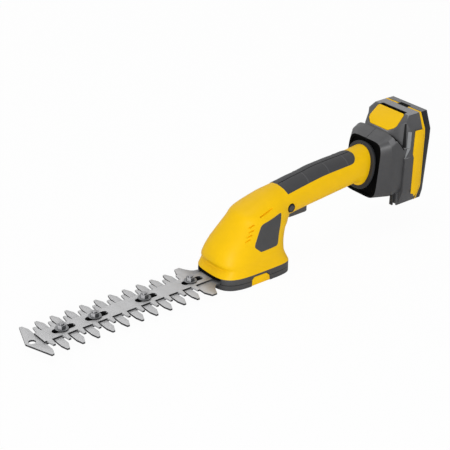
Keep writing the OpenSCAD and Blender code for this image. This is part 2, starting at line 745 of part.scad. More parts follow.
// Cutting set
nut_places = [for (s = nut_shares) nose_x + blade_run * s];
tail_screw_places = [for (s = tail_screw_shares) for (y = [-tail_screw_y, tail_screw_y])
  [head_front * s, y]];
function mirrored(p) = concat(p, [for (i = [len(p) - 1:-1:0]) [p[i][0], -p[i][1]]]);
module lower_blade() {
  side = concat(
    [for (p = nose_shares) [nose_x + p[0] * nose_len, p[1] * tip_half]],
    [[nose_x + nose_shares[3][0] * nose_len, spine_half]],
    [for (k = [1:teeth]) let(x = nose_x + pitch * (k + tooth_share), lean = tooth_tip_w * 0.3) each [
      [x - tooth_w / 2, spine_half],
      [x - tooth_w / 2, shoulder_half],
      [x - lean - tooth_tip_w / 2, tip_half],
      [x - lean + tooth_tip_w / 2, tip_half],
      [x + tooth_w / 2, shoulder_half],
      [x + tooth_w / 2, spine_half]]],
    [[guard_mid + guard_shares[0][0] * guard_w, spine_half]],
    [for (p = guard_shares) [guard_mid + p[0] * guard_w, p[1] * guard_reach]],
    [[-head_front, tail_half],
    [tail_len - head_front - base_wall, tail_half],
    [tail_len - head_front, tail_half - base_wall]]);
  color(steel)
    difference() {
      translate([0, 0, blade_z])
        linear_extrude(blade_t)
          polygon(mirrored(side));
      translate([apex_x + hang_back, 0, blade_z - overrun])
        cylinder(r = hang_r, h = blade_t + 2 * overrun);
      for (x = nut_places)
        translate([x, 0, blade_z - overrun])
          cylinder(d = bolt_d + 2 * shaft_fit, h = blade_t + 2 * overrun);
      for (p = tail_screw_places)
        translate([p[0], p[1], blade_z - overrun])
          cylinder(d = tail_screw_d + 2 * seat_gap, h = blade_t + 2 * overrun);
    }
}

module upper_blade() {
  front = nose_x + nose_len * front_share;
  side = concat(
    [[front, 0], [front, bar_half]],
    [for (k = [0:teeth]) let(x = nose_x + pitch * (k + narrow_share)) each [
      [x - narrow_w / 2, bar_half],
      [x - narrow_tip_w / 2, narrow_half],
      [x + narrow_tip_w / 2, narrow_half],
      [x + narrow_w / 2, bar_half]]],
    [[guard_mid, bar_half],
    [guard_mid + narrow_w, upper_tail_half],
    [gear_x - yoke_half - yoke_rim, upper_tail_half],
    [gear_x - yoke_half, yoke_half_y + yoke_rim],
    [gear_x + yoke_half + yoke_rim, yoke_half_y + yoke_rim],
    [gear_x + yoke_half + yoke_rim, 0]]);
  color(steel)
    difference() {
      translate([0, 0, upper_z])
        linear_extrude(blade_t)
          polygon(mirrored(side));
      for (x = nut_places)
        slot_cut(x + slot_len * (slot_back_share - 0.5), x + slot_len * (slot_back_share + 0.5), 0,
          bush_d + 2 * run_gap, upper_z - overrun, upper_z + blade_t + overrun);
      translate([gear_x - yoke_half, -yoke_half_y, upper_z - overrun])
        cube([2 * yoke_half, 2 * yoke_half_y, blade_t + 2 * overrun]);
    }
}

module blade_bolts() {
  color(steel)
    for (x = nut_places) {
      translate([x, 0, blade_z - bolt_head_h])
        cylinder(d = bolt_head_d, h = bolt_head_h);
      translate([x, 0, blade_z - bolt_head_h])
        cylinder(d = bolt_d, h = bolt_head_h + nut_z - blade_z + nut_h + bolt_d / 5);
    }
}

module blade_bushes() {
  color(bronze)
    for (x = nut_places)
      translate([x, 0, blade_z + blade_t])
        difference() {
          cylinder(d = bush_d, h = bush_h);
          translate([0, 0, -overrun])
            cylinder(d = bolt_d + 2 * shaft_fit, h = bush_h + 2 * overrun);
        }
}

module blade_washers() {
  color(steel)
    for (x = nut_places)
      translate([x, 0, washer_z])
        difference() {
          cylinder(d = washer_d, h = washer_t);
          translate([0, 0, -overrun])
            cylinder(d = bolt_d + 2 * shaft_fit, h = washer_t + 2 * overrun);
        }
}

module blade_nuts() {
  color(steel)
    for (x = nut_places)
      translate([x, 0, nut_z])
        difference() {
          cylinder(d = nut_af / cos(30), h = nut_h, $fn = 6);
          translate([0, 0, -overrun])
            cylinder(d = bolt_d + 2 * shaft_fit, h = nut_h + 2 * overrun);
        }
}

module tail_screws() {
  color(steel)
    for (p = tail_screw_places)
      translate([p[0], p[1], 0]) {
        translate([0, 0, blade_z + blade_t])
          cylinder(d = tail_head_d, h = tail_head_h);
        translate([0, 0, base_floor])
          cylinder(d = tail_screw_d, h = blade_z + blade_t + tail_head_h / 2 - base_floor);
      }
}

// Base cover and release tabs
tab_points = [for (p = tab_shares) [p[0] * tab_len, tab_z + p[1] * tab_h]];
tab_face = head_w / 2 + seat_gap;
tab_inner = head_w / 2 - base_wall;
stem_end = tail_half + tab_travel + 3.5 * run_gap;
stem_z = base_floor + 2 * run_gap;
tab_spring_z = (base_floor + blade_z) / 2;
tab_spring_d = blade_z - base_floor - 2 * run_gap;
tab_spring_end = stem_end - stem_len;
module base_cover() {
  color(black)
    difference() {
      union() {
        difference() {
          linear_extrude(base_h)
            plan_outline(housing_stations[0], 0);
          translate([0, 0, base_floor])
            linear_extrude(base_h)
              plan_outline(housing_stations[0], base_wall);
        }
        for (p = tail_screw_places)
          translate([p[0], p[1], base_floor / 2])
            cylinder(d = 2 * tail_screw_d, h = blade_z - base_floor / 2);
        for (s = [-1, 1]) {
          for (k = [-1, 1])
            translate([k * (stem_w + base_floor + 2 * run_gap) / 2 - base_floor / 2,
              s * (tail_half + tab_inner) / 2 - base_wall * 1.1, base_floor / 2])
              cube([base_floor, 2 * base_wall * 1.1, blade_z]);
          translate([-base_wall, s * (tab_spring_end - base_wall / 2) - base_wall / 2, base_floor / 2])
            cube([2 * base_wall, base_wall, blade_z - base_floor / 2 - run_gap]);
        }
      }
      translate([-head_front - overrun, -tail_half - run_gap, mouth_z])
        cube([head_front / 3, 2 * (tail_half + run_gap), base_h]);
      for (s = [-1, 1])
        mirror([0, s < 0 ? 1 : 0, 0])
          translate([0, 0, -overrun])
            side_prism([for (p = tab_points) [p[0] + sign(p[0]) * run_gap, p[1] == tab_z
              ? 0 : p[1] + run_gap + overrun]], tab_inner - tab_travel - run_gap, tab_face + overrun);
      for (p = tail_screw_places)
        translate([p[0], p[1], base_floor])
          cylinder(d = tail_screw_d + 2 * shaft_fit, h = blade_z);
    }
}

module release_tab() {
  color(yellow) {
    intersection() {
      side_prism(tab_points, tab_inner, tab_face);
      linear_extrude(base_h)
        plan_outline(housing_stations[0], -seat_gap);
    }
    translate([-stem_w / 2, stem_end, stem_z])
      cube([stem_w, tab_inner - stem_end + base_wall / 2, tab_h - stem_z - run_gap]);
  }
}

module right_release() {
  release_tab();
}

module left_release() {
  mirror([0, 1, 0])
    release_tab();
}

module release_spring() {
  color(steel)
    translate([0, tab_spring_end, tab_spring_z])
      rotate([-90, 0, 0])
        coil(tab_spring_d, stem_len, 5);
}

module right_release_spring() {
  release_spring();
}

module left_release_spring() {
  mirror([0, 1, 0])
    release_spring();
}

// Housing
boss_places = [for (b = boss_shares) section_place(b[0], b[1])];
switch_boss_x = [switch_x + switch_len * 0.2, switch_x + switch_len * 0.8];
module housing_half(screw_side) {
  $fn = 20;
  color(yellow)
    difference() {
      union() {
        half_shell(housing_stations, shell_wall, 2, 22);
        intersection() {
          half_core(housing_stations, shell_wall / 2, 2, 22);
          for (p = boss_places)
            hull() {
              cross_rod(p[0], p[1], 2 * boss_r, 0, overrun);
              cross_rod(p[0], p[1], 2 * boss_r + overrun, skin_y(p[0], p[1]), head_w / 2);
            }
        }
        for (x = switch_boss_x)
          cross_rod(x, switch_z + switch_h / 2, boss_r, switch_w / 2 + seat_gap,
            skin_y(x, switch_z + switch_h / 2) - shell_wall / 2);
        difference() {
          cross_rod(pivot_x, pivot_z, 2 * pivot_d, trigger_w / 2 + 2 * run_gap,
            skin_y(pivot_x, pivot_z) - shell_wall / 2);
          cross_rod(pivot_x, pivot_z, pivot_d + 2 * seat_gap, 0, skin_y(pivot_x, pivot_z) - shell_wall);
        }
      }
      for (p = boss_places) {
        cross_rod(p[0], p[1], screw_d + 2 * seat_gap, -overrun, 2 * screw_seat);
        if (screw_side)
          cross_rod(p[0], p[1], screw_head_d + 2 * run_gap, screw_seat, head_w);
      }
      for (v = vent_shares)
        hull()
          for (k = [0, 2]) {
            y = skin_y(v[k] * head_rear, v[k + 1] * shoulder_z);
            cross_rod(v[k] * head_rear, v[k + 1] * shoulder_z, vent_w, y - vent_depth, y + 4 * overrun);
          }
      side_patch(grown(panel_points, seat_gap), panel_t + seat_gap, overrun);
      grip_patch(-overrun, grip_t + seat_gap, 0.5, 0.01);
      translate([trigger_x - 2 * run_gap, -overrun, trigger_z - overrun])
        cube([trigger_len + 6 * run_gap + overrun * 0.4, trigger_w / 2 + run_gap + overrun,
          pivot_z - trigger_z + overrun]);
      cross_rod(lock_x, lock_z, lock_d + 2 * lock_ring, 0, head_w);
    }
}

module right_housing() {
  housing_half(true);
}

module left_housing() {
  mirror([0, 1, 0])
    housing_half(false);
}

module housing_screws() {
  color(steel)
    for (p = boss_places) {
      cross_rod(p[0], p[1], screw_head_d, screw_seat, screw_seat + screw_head_h);
      cross_rod(p[0], p[1], screw_d, -screw_seat, screw_seat + screw_head_h / 2);
    }
}

module right_panel() {
  color(dark)
    side_patch(panel_points, panel_t, 0);
}

module left_panel() {
  mirror([0, 1, 0])
    right_panel();
}

module right_grip() {
  color(dark)
    grip_patch(0, grip_t, 0, 0);
}

module left_grip() {
  mirror([0, 1, 0])
    right_grip();
}

// Drive
module gear_plate() {
  color(steel)
    difference() {
      translate([0, 0, plate_z])
        linear_extrude(plate_t)
          plan_outline(housing_stations[4], shell_wall + 4 * seat_gap);
      translate([gear_x, 0, plate_z - overrun])
        cylinder(d = crank_bush_d + 2 * shaft_fit, h = plate_t + 2 * overrun);
      translate([motor_x, 0, plate_z - overrun])
        cylinder(d = motor_bush_d + 2 * seat_gap, h = plate_t + 2 * overrun);
      for (s = [-1, 1])
        translate([motor_x, s * motor_screw_y, plate_z - overrun])
          cylinder(d = screw_d + 2 * seat_gap, h = plate_t + 2 * overrun);
    }
}

module crank_bush() {
  color(bronze)
    translate([gear_x, 0, bush_bottom])
      difference() {
        cylinder(d = crank_bush_d, h = crank_bush_len);
        translate([0, 0, -overrun])
          cylinder(d = crank_d + 2 * shaft_fit, h = crank_bush_len + 2 * overrun);
      }
}

module crank_shaft() {
  color(steel)
    translate([gear_x, 0, gear_z + gear_t / 3])
      cylinder(d = crank_d, h = clip_z + 2 * clip_t - gear_z - gear_t / 3);
}

module crank_clip() {
  color(steel)
    translate([gear_x, 0, clip_z])
      difference() {
        cylinder(d = clip_d, h = clip_t);
        translate([0, 0, -overrun])
          cylinder(d = crank_d + 2 * shaft_fit, h = clip_t + 2 * overrun);
      }
}

module crank_gear() {
  color(steel)
    difference() {
      translate([gear_x, 0, gear_z])
        linear_extrude(gear_t)
          gear_outline(gear_teeth);
      translate([gear_x, 0, gear_z + gear_t / 3])
        cylinder(d = crank_d + 2 * shaft_fit, h = gear_t);
      translate([gear_x, throw, gear_z - overrun])
        cylinder(d = crank_pin_d + 2 * shaft_fit, h = gear_t / 3 - seat_gap + overrun);
    }
}

module crank_pin() {
  color(steel)
    translate([gear_x, throw, roller_z])
      cylinder(d = crank_pin_d, h = gear_z + gear_t / 3 - 2 * seat_gap - roller_z);
}

module crank_roller() {
  color(bronze)
    translate([gear_x, throw, roller_z])
      difference() {
        cylinder(d = roller_d, h = gear_z - roller_z - seat_gap);
        translate([0, 0, -overrun])
          cylinder(d = crank_pin_d + 2 * shaft_fit, h = gear_z - roller_z + overrun);
      }
}

rotor_z = plate_top + can_wall + motor_bush_len + run_gap;
module motor_can() {
  color(steel)
    difference() {
      translate([motor_x, 0, plate_top])
        cylinder(d = motor_d, h = can_len);
      translate([motor_x, 0, plate_top + can_wall])
        cylinder(d = motor_d - 2 * can_wall, h = can_len);
      translate([motor_x, 0, plate_top - overrun])
        cylinder(d = motor_bush_d + 2 * shaft_fit, h = can_wall + 2 * overrun);
      for (s = [-1, 1])
        translate([motor_x, s * motor_screw_y, plate_top - overrun])
          cylinder(d = screw_d + 2 * shaft_fit, h = can_wall + 2 * overrun);
    }
}

module motor_magnets() {
  r_out = motor_d / 2 - can_wall - shaft_fit;
  color(dark)
    translate([motor_x, 0, rotor_z])
      difference() {
        cylinder(r = r_out, h = rotor_len);
        translate([0, 0, -overrun])
          cylinder(r = r_out - magnet_t + run_gap / 2, h = rotor_len + 2 * overrun);
        translate([-magnet_t, -motor_d, -overrun])
          cube([2 * magnet_t, 2 * motor_d, rotor_len + 2 * overrun]);
      }
}

module motor_endcap() {
  color(black)
    translate([motor_x, 0, can_top])
      difference() {
        cylinder(d = motor_d, h = cap_t);
        translate([0, 0, -overrun])
          cylinder(d = motor_bush_d + 2 * shaft_fit, h = cap_t + 2 * overrun);
      }
}

module motor_bushes() {
  color(bronze)
    for (z = [plate_top, can_top])
      translate([motor_x, 0, z])
        difference() {
          cylinder(d = motor_bush_d, h = motor_bush_len);
          translate([0, 0, -overrun])
            cylinder(d = shaft_d + 2 * shaft_fit, h = motor_bush_len + 2 * overrun);
        }
}

module motor_rotor() {
  color(bronze)
    translate([motor_x, 0, rotor_z])
      difference() {
        union() {
          cylinder(d = rotor_d, h = rotor_len);
          cylinder(d = commutator_d, h = rotor_len + commutator_len);
        }
        translate([0, 0, -overrun])
          cylinder(d = shaft_d + 2 * shaft_fit, h = rotor_len + commutator_len + 2 * overrun);
      }
}

module motor_shaft() {
  color(steel)
    translate([motor_x, 0, pinion_z])
      cylinder(d = shaft_d, h = motor_top + clip_t - pinion_z);
}

module motor_pinion() {
  color(steel)
    difference() {
      translate([motor_x, 0, pinion_z])
        rotate([0, 0, pinion_teeth % 2 == 0 ? 180 / pinion_teeth : 0])
          linear_extrude(pinion_t)
            gear_outline(pinion_teeth);
      translate([motor_x, 0, pinion_z - overrun])
        cylinder(d = shaft_d + 2 * shaft_fit, h = pinion_t + 2 * overrun);
    }
}

module motor_screws() {
  color(steel)
    for (s = [-1, 1])
      translate([motor_x, s * motor_screw_y, 0]) {
        translate([0, 0, plate_z - screw_head_h])
          cylinder(d = screw_head_d, h = screw_head_h);
        translate([0, 0, plate_z - screw_head_h / 2])
          cylinder(d = screw_d, h = screw_head_h / 2 + plate_t + can_wall);
      }
}

// Controls
trigger_points = [for (p = trigger_shares)
  [trigger_x + p[0] * trigger_len, trigger_z + p[1] * (trigger_back_z - trigger_z)]];
module trigger() {
  color(dark)
    difference() {
      side_prism(trigger_points, -trigger_w / 2, trigger_w / 2);
      cross_rod(pivot_x, pivot_z, pivot_d + 2 * shaft_fit, -trigger_w, trigger_w);
    }
}

module trigger_pin() {
  reach = skin_y(pivot_x, pivot_z) - 2 * shell_wall;
  color(steel)
    cross_rod(pivot_x, pivot_z, pivot_d, -reach, reach);
}

module trigger_spring() {
  color(steel)
    translate([pivot_x + plunger_back * 0.55, 0, trigger_back_z])
      coil(trigger_w * 0.4, switch_z - trigger_back_z, 4);
}

module switch_body() {
  color(black)
    difference() {
      translate([switch_x, -switch_w / 2, switch_z])
        cube([switch_len, switch_w, switch_h]);
      translate([plunger_x, 0, switch_z - overrun])
        cylinder(d = plunger_d + 2 * run_gap, h = switch_h * 0.7 + overrun);
    }
}

module switch_plunger() {
  color(dark)
    translate([plunger_x, 0, trigger_back_z + run_gap])
      cylinder(d = plunger_d, h = switch_z - trigger_back_z + switch_h * 0.35);
}

lock_reach = skin_y(lock_x, lock_z) + lock_proud;
module lock_button() {
  color(dark) {
    cross_rod(lock_x, lock_z, lock_d, -lock_reach, lock_reach);
    cross_rod(lock_x, lock_z, lock_collar_d, -clip_t, clip_t);
  }
}

module lock_spring() {
  reach = lock_reach - lock_proud - shell_wall;
  color(steel)
    translate([lock_x, clip_t, lock_z])
      rotate([-90, 0, 0])
        coil(lock_d + 4 * wire_d, reach - clip_t - overrun, 4);
}

// Handle's end and battery adapter
module oval(half_w, half_h, roundness) {
  polygon([for (a = [0:7.5:352.5]) [half_h * bend(cos(a), roundness), half_w * bend(sin(a), roundness)]]);
}

// Stands a flat outline across the handle's end, with its first axis up
module at_rim() {
  translate([rim_x, 0, rim_z])
    rotate([0, handle_end_angle, 0])
      rotate([0, -90, 0])
        mirror([0, 0, 1])
          children();
}

module collar_ring() {
  color(dark)
    at_rim()
      difference() {
        linear_extrude(ring_t)
          oval(ring_half, ring_half_h, 2.3);
        translate([0, 0, -overrun])
          linear_extrude(ring_t + 2 * overrun)
            oval(neck_half * 0.7, neck_half_h * 0.7, 2.3);
      }
}

// Half width and height of the adapter's skin at a distance from its front rim, measured at mid height
function adapter_mid(h) = (h[0] + h[2]) / 2;
function adapter_half_at(x) = lookup((x - adapt_x) / adapt_len,
  [for (h = adapter_shares) [adapter_mid(h), adapt_half * h[4]]]);
function adapter_z_at(x, top) = lookup((x - adapt_x) / adapt_len,
  [for (h = adapter_shares) [h[top ? 0 : 2], adapt_z + adapt_h * h[top ? 1 : 3]]]);

// Flat sheet across the adapter at a distance, kept inside its walls
module adapter_sheet(x, t, roundness) {
  inset = adapt_wall + 3 * seat_gap;
  low = max(adapter_z_at(x, false), adapter_z_at(x + t, false)) + inset;
  high = adapter_z_at(x, true) - inset;
  translate([x, 0, (low + high) / 2])
    rotate([0, -90, 0])
      mirror([0, 0, 1])
        linear_extrude(t)
          oval(adapter_half_at(x) - inset, (high - low) / 2, roundness);
}

// Stands a flat outline across the adapter's front rim, with its first axis up
rim_station = adapter_station(adapter_shares[0]);
module at_adapter() {
  translate([(rim_station[0] + rim_station[2]) / 2, 0, (rim_station[1] + rim_station[3]) / 2])
    rotate([0, adapt_tilt, 0])
      rotate([0, -90, 0])
        mirror([0, 0, 1])
          children();
}

module neck_core(share, from, to) {
  translate([0, 0, rim_z])
    rotate([0, 90, 0])
      mirror([1, 0, 0])
        translate([0, 0, from])
          linear_extrude(to - from)
            oval(neck_half * share, neck_half_h * share, 2.3);
}

module adapter_plate() {
  inset = adapt_wall + seat_gap;
  rear = adapt_x + plate_recess + rail_plate_t / 2;
  color(black)
    difference() {
      union() {
        at_adapter()
          translate([0, 0, plate_recess])
            linear_extrude(rail_plate_t)
              oval(rim_station[4] - inset, (rim_station[1] - rim_station[3]) / 2 - inset, 6);
        neck_core(1, rim_x - ring_half, rear);
      }
      at_rim()
        translate([-head_w, -head_w, ring_t - head_w])
          cube([2 * head_w, 2 * head_w, head_w]);
      neck_core(0.7, rim_x - ring_half - overrun, rear + ring_half);
    }
}

adapter_screw_places = [
  [mix(adapt_x, rail_plate_x, 0.5), adapt_z + adapt_h * 0.13],
  [mix(adapt_x, rail_plate_x, 0.72), adapt_z + adapt_h * 0.82]];
module adapter_half(screw_side) {
  channel_x = rail_plate_x + rail_plate_t + seat_gap;
  channel_half = batt_neck_half + run_gap;
  ear = adapt_x + adapt_len;
  top = adapt_z + adapt_h;
  color(dark) {
    difference() {
      union() {
        half_shell(adapter_stations, adapt_wall, 1, 24);
        for (p = adapter_screw_places)
          cross_rod(p[0], p[1], 1.6 * boss_r, 0, adapt_half * 0.8);
      }
      translate([channel_x, -overrun, adapt_z - overrun])
        cube([adapt_len, channel_half + overrun, adapt_h + 2 * overrun]);
      side_prism([[channel_x - overrun, top + overrun], [channel_x - overrun, top + run_gap],
        [ear + run_gap, top - adapt_h * 0.24], [ear + overrun, top - adapt_h * 0.24],
        [ear + overrun, top + overrun]], -overrun, head_w);
      side_prism([[channel_x - rail_plate_t, adapt_z - overrun], [channel_x - rail_plate_t, adapt_z],
        [ear + run_gap, adapt_z + adapt_h * 0.05], [ear + overrun, adapt_z + adapt_h * 0.05],
        [ear + overrun, adapt_z - overrun]], -overrun, head_w);
      for (p = adapter_screw_places) {
        cross_rod(p[0], p[1], screw_d + 2 * seat_gap, -overrun, 2 * screw_seat);
        if (screw_side)
          cross_rod(p[0], p[1], screw_head_d, screw_seat, head_w);
      }
    }
    translate([rail_x, channel_half - rail_reach, rail_z])
      cube([rail_t, rail_reach + overrun, rail_len]);
  }
}

module right_adapter() {
  adapter_half(true);
}

module left_adapter() {
  mirror([0, 1, 0])
    adapter_half(false);
}

module adapter_screws() {
  color(steel)
    for (p = adapter_screw_places) {
      cross_rod(p[0], p[1], screw_head_d - 2 * seat_gap, screw_seat, screw_seat + screw_head_h);
      cross_rod(p[0], p[1], screw_d, -screw_seat, screw_seat + screw_head_h / 2);
    }
}

terminal_z = rail_z + run_gap;
terminal_y = [-terminal_gap, 0, terminal_gap];
module rail_plate() {
  color(black)
    difference() {
      adapter_sheet(rail_plate_x, rail_plate_t, 5.5);
      for (y = terminal_y)
        translate([rail_plate_x - overrun, y - terminal_t / 2 - shaft_fit, terminal_z - shaft_fit])
          cube([rail_plate_t + 2 * overrun, terminal_t + 2 * shaft_fit, terminal_h + 2 * shaft_fit]);
    }
}

module terminal_block() {
  wide = 2 * terminal_gap + 4 * rail_plate_t;
  color(black)
    translate([rail_plate_x - rail_plate_t, -wide / 2, terminal_z - rail_plate_t])
      cube([rail_plate_t - shaft_fit, wide, terminal_h + 2 * rail_plate_t]);
}

module terminal_blades() {
  color(bronze)
    for (y = terminal_y)
      translate([rail_plate_x, y - terminal_t / 2, terminal_z])
        cube([rail_plate_t + terminal_reach, terminal_t, terminal_h]);
}

// Battery
module battery_outline(shares, inset) {
  polygon(mirrored_y([for (p = shares)
    [p[0] * batt_half - inset, batt_z + batt_h / 2 + (p[1] - 0.5) * (batt_h - 2 * inset)]]));
}
function mirrored_y(p) = concat(p, [for (i = [len(p) - 1:-1:0]) [-p[i][0], p[i][1]]]);
module battery_slab(x_from, x_to, shares, inset) {
  translate([x_from, 0, 0])
    rotate([90, 0, 90])
      linear_extrude(x_to - x_from)
        battery_outline(shares, inset);
}

// Stands children on the battery's slope: X up along it, Z out of it
module on_slope() {
  translate([batt_x, 0, slope_foot])
    rotate([0, -slope_angle, 0])
      children();
}
slope_len = slope_z / sin(slope_angle);
slope_top = batt_x + slope_z / tan(slope_angle);
button_start = (slope_len - button_len) * 0.85;
button_points = mirrored([for (p = button_shares)
  [button_start + p[1] * button_len, p[0] * button_half]]);
function grown_out(p, d) = [for (q = p) [q[0] + (q[0] > button_start + button_len / 2 ? d : -d),
  q[1] + sign(q[1]) * d]];
button_floor = button_t + button_travel + 2 * run_gap - button_proud;
label_points = [for (p = label_shares)
  [batt_x + batt_neck + p[0] * batt_front, batt_z + p[1] * batt_h]];
cell_last = floor((batt_h - cell_z - cell_d / 2 - 3.5 * batt_wall) / cell_gap);
cell_places = [for (i = [0:cell_last]) batt_z + cell_z + cell_gap * i];
neck_z = adapt_z + adapt_h * 0.06;
cavity_x = batt_x + cell_x - cell_d / 2 - 3 * batt_wall;
under_z = adapt_z + adapt_h * 0.024;
under_x = batt_x + batt_neck + batt_front * 0.6;
under_half = batt_neck_half - 2 * batt_wall - seat_gap;
batt_screw_places = [for (y = [-0.4, 0.4]) [y * batt_half, batt_z + batt_h * 0.962]];
// Room for the row of cells
module cell_room() {
  r = cell_d / 2 + run_gap;
  c = r * 0.42;
  x = batt_x + cell_x;
  low = cell_places[0];
  high = cell_places[cell_last];
  side_prism([[x - r, low - c], [x - r, high + c], [x - c, high + r], [x + c, high + r],
    [x + r, high + c], [x + r, low - c], [x + c, low - r], [x - c, low - r]],
    -cell_len / 2 - run_gap, cell_len / 2 + run_gap);
}

module battery_front_case() {
  color(dark)
    difference() {
      union() {
        difference() {
          front_case_solid();
          side_prism([
            [cavity_x, under_z - batt_wall / 2], [cavity_x, slope_foot - batt_wall * 2],
            [cavity_x + cell_d / 2, slope_foot + cell_d / 2], [cavity_x + cell_d * 0.6, batt_top - batt_wall],
            [seam_x + overrun, batt_top - batt_wall], [seam_x + overrun, batt_z + batt_wall],
            [under_x + batt_wall, batt_z + batt_wall]],
            -batt_half * 0.7, batt_half * 0.7);
          cell_room();
          translate([batt_x + 2 * batt_wall, -batt_neck_half * 0.8, rail_z])
            cube([cavity_x - batt_x - batt_wall, 2 * batt_neck_half * 0.8, rail_len]);
        }
        for (p = batt_screw_places)
          translate([seam_x - 3 * screw_d, p[0] - screw_d, p[1] - screw_d * 0.7])
            cube([3 * screw_d, 2 * screw_d, batt_top - p[1] + batt_wall / 2]);
      }
      for (s = [-1, 1])
        translate([rail_x - run_gap, s * (batt_neck_half + run_gap - rail_reach / 2) - rail_reach / 2
          - run_gap, batt_z])
          cube([rail_t + 2 * run_gap, rail_reach + 2 * run_gap, rail_z + rail_len + run_gap - batt_z]);
      for (y = terminal_y)
        translate([batt_x - overrun, y - terminal_t / 2 - run_gap, batt_z - overrun])
          cube([terminal_reach + overrun, terminal_t + 2 * run_gap,
            terminal_z + terminal_h + run_gap - batt_z + overrun]);
      for (p = batt_screw_places)
        translate([seam_x - 4 * screw_d, p[0], p[1]])
          rotate([0, 90, 0])
            cylinder(d = screw_d + 2 * shaft_fit, h = 4 * screw_d + overrun);
    }
}

// Outside of the front case, with the button's pocket and the finger slot behind it
module front_case_solid() {
  difference() {
    union() {
      battery_slab(batt_x + batt_neck, seam_x, battery_shares, 0);
      translate([batt_x, -batt_neck_half, neck_z])
        cube([batt_neck + overrun, 2 * batt_neck_half, adapt_h * 0.72]);
      translate([batt_x, -batt_top_half, neck_z])
        cube([batt_neck + overrun, 2 * batt_top_half, batt_top - neck_z]);
      for (s = [-1, 1])
        translate([batt_x + batt_wall, s * (batt_neck_half - batt_wall) - batt_wall,
          batt_z + 2 * batt_wall])
          cube([batt_neck - batt_wall + overrun, 2 * batt_wall, adapt_z - batt_z]);
    }
    for (s = [-1, 1])
      mirror([0, s < 0 ? 1 : 0, 0])
        for (k = [[0.62, batt_neck_half, 1], [0.76, batt_top_half, 0.72]])
          translate([0, 0, adapt_z + adapt_h * k[0]])
            linear_extrude(batt_h)
              polygon([[batt_x - overrun, k[1] * k[2]], [batt_x + batt_neck / 5, k[1] * mix(k[2], 1, 0.32)],
                [batt_x + batt_neck * 0.6, k[1] * mix(k[2], 1, 0.7)], [batt_x + batt_neck, k[1]],
                [batt_x + batt_neck + bevel_w, batt_half],
                [batt_x + batt_neck + bevel_w, batt_half + overrun],
                [batt_x - overrun, batt_half + overrun]]);
    side_prism([[batt_x - overrun, batt_z - overrun], [batt_x - overrun, under_z],
      [batt_x + batt_neck, under_z], [under_x, batt_z], [under_x, batt_z - overrun]],
      -under_half, under_half);
    on_slope()
      translate([-head_w, -head_w, 0])
        cube([2 * head_w, 2 * head_w, head_w]);
    on_slope()
      translate([0, 0, -button_floor])
        linear_extrude(button_floor + overrun)
          polygon(grown_out(button_points, run_gap));
    translate([slope_top - overrun, -button_half * 0.92, batt_top - finger_depth])
      cube([finger_w + overrun, 2 * button_half * 0.92, finger_depth + overrun]);
  }
}

module battery_rear_case() {
  color(dark)
    difference() {
      hull() {
        battery_slab(rear_x, rear_x + seat_gap, battery_shares, 0);
        battery_slab(batt_end - seat_gap, batt_end, rear_shares, 0);
      }
      translate([rear_x - overrun, -batt_half * 0.7, batt_z + batt_wall])
        cube([batt_back - batt_wall + overrun, batt_half * 1.4, batt_h - 2 * batt_wall]);
      for (p = batt_screw_places)
        translate([rear_x - overrun, p[0], p[1]])
          rotate([0, 90, 0]) {
            cylinder(d = screw_d + 2 * shaft_fit, h = batt_back + 2 * overrun);
            translate([0, 0, overrun + batt_back - screw_head_h])
              cylinder(d = screw_head_d + 2 * seat_gap, h = screw_head_h + overrun);
          }
      cell_room();
    }
}

module battery_stripe() {
  color(yellow)
    difference() {
      battery_slab(seam_x, rear_x, battery_shares, -stripe_proud);
      translate([seam_x - overrun, -batt_half * 0.7, batt_z + batt_wall])
        cube([stripe_t + 2 * overrun, batt_half * 1.4, batt_h - 2 * batt_wall]);
      translate([seam_x - overrun, -batt_half * 0.22, batt_top - batt_wall - overrun])
        cube([stripe_t + 2 * overrun, batt_half * 0.44, batt_wall + 2 * overrun]);
      for (p = batt_screw_places)
        translate([seam_x - overrun, p[0], p[1]])
          rotate([0, 90, 0])
            cylinder(d = screw_d + 2 * shaft_fit, h = stripe_t + 2 * overrun);
      cell_room();
    }
}

module battery_labels() {
  color(yellow)
    for (s = [-1, 1])
      translate([0, s * (batt_half + label_t / 2), 0])
        side_prism(label_points, -label_t / 2, label_t / 2);
}

module battery_cells() {
  color(green)
    for (z = cell_places)
      cross_rod(batt_x + cell_x, z, cell_d, -cell_len / 2, cell_len / 2);
}

module cell_holder() {
  color(black)
    difference() {
      translate([cavity_x + 3 * board_t, -batt_half * 0.6, batt_z + cell_z - batt_wall])
        cube([cell_d * 0.55, batt_half * 1.2, slope_foot - batt_z - cell_z - batt_wall]);
      for (z = cell_places)
        cross_rod(batt_x + cell_x, z, cell_d + 2 * seat_gap, -head_w, head_w);
    }
}

module battery_board() {
  color(green)
    translate([cavity_x + 2 * board_t - shaft_fit, -batt_half * 0.55, rail_z])
      cube([board_t, batt_half * 1.1, rail_len]);
}

module battery_screws() {
  color(steel)
    for (p = batt_screw_places)
      translate([0, p[0], p[1]])
        rotate([0, 90, 0]) {
          translate([0, 0, batt_end - screw_head_h])
            cylinder(d = screw_head_d, h = screw_head_h - seat_gap);
          translate([0, 0, seam_x - 3 * screw_d])
            cylinder(d = screw_d, h = batt_end - screw_head_h / 2 - seam_x + 3 * screw_d);
        }
}

module battery_button() {
  color(yellow)
    on_slope()
      translate([0, 0, button_proud - button_t])
        linear_extrude(button_t)
          polygon(button_points);
}

module button_spring() {
  color(steel)
    on_slope()
      translate([button_start + button_len / 2, 0, -button_floor])
        coil(button_len / 3, button_floor - button_t + button_proud, 2);
}

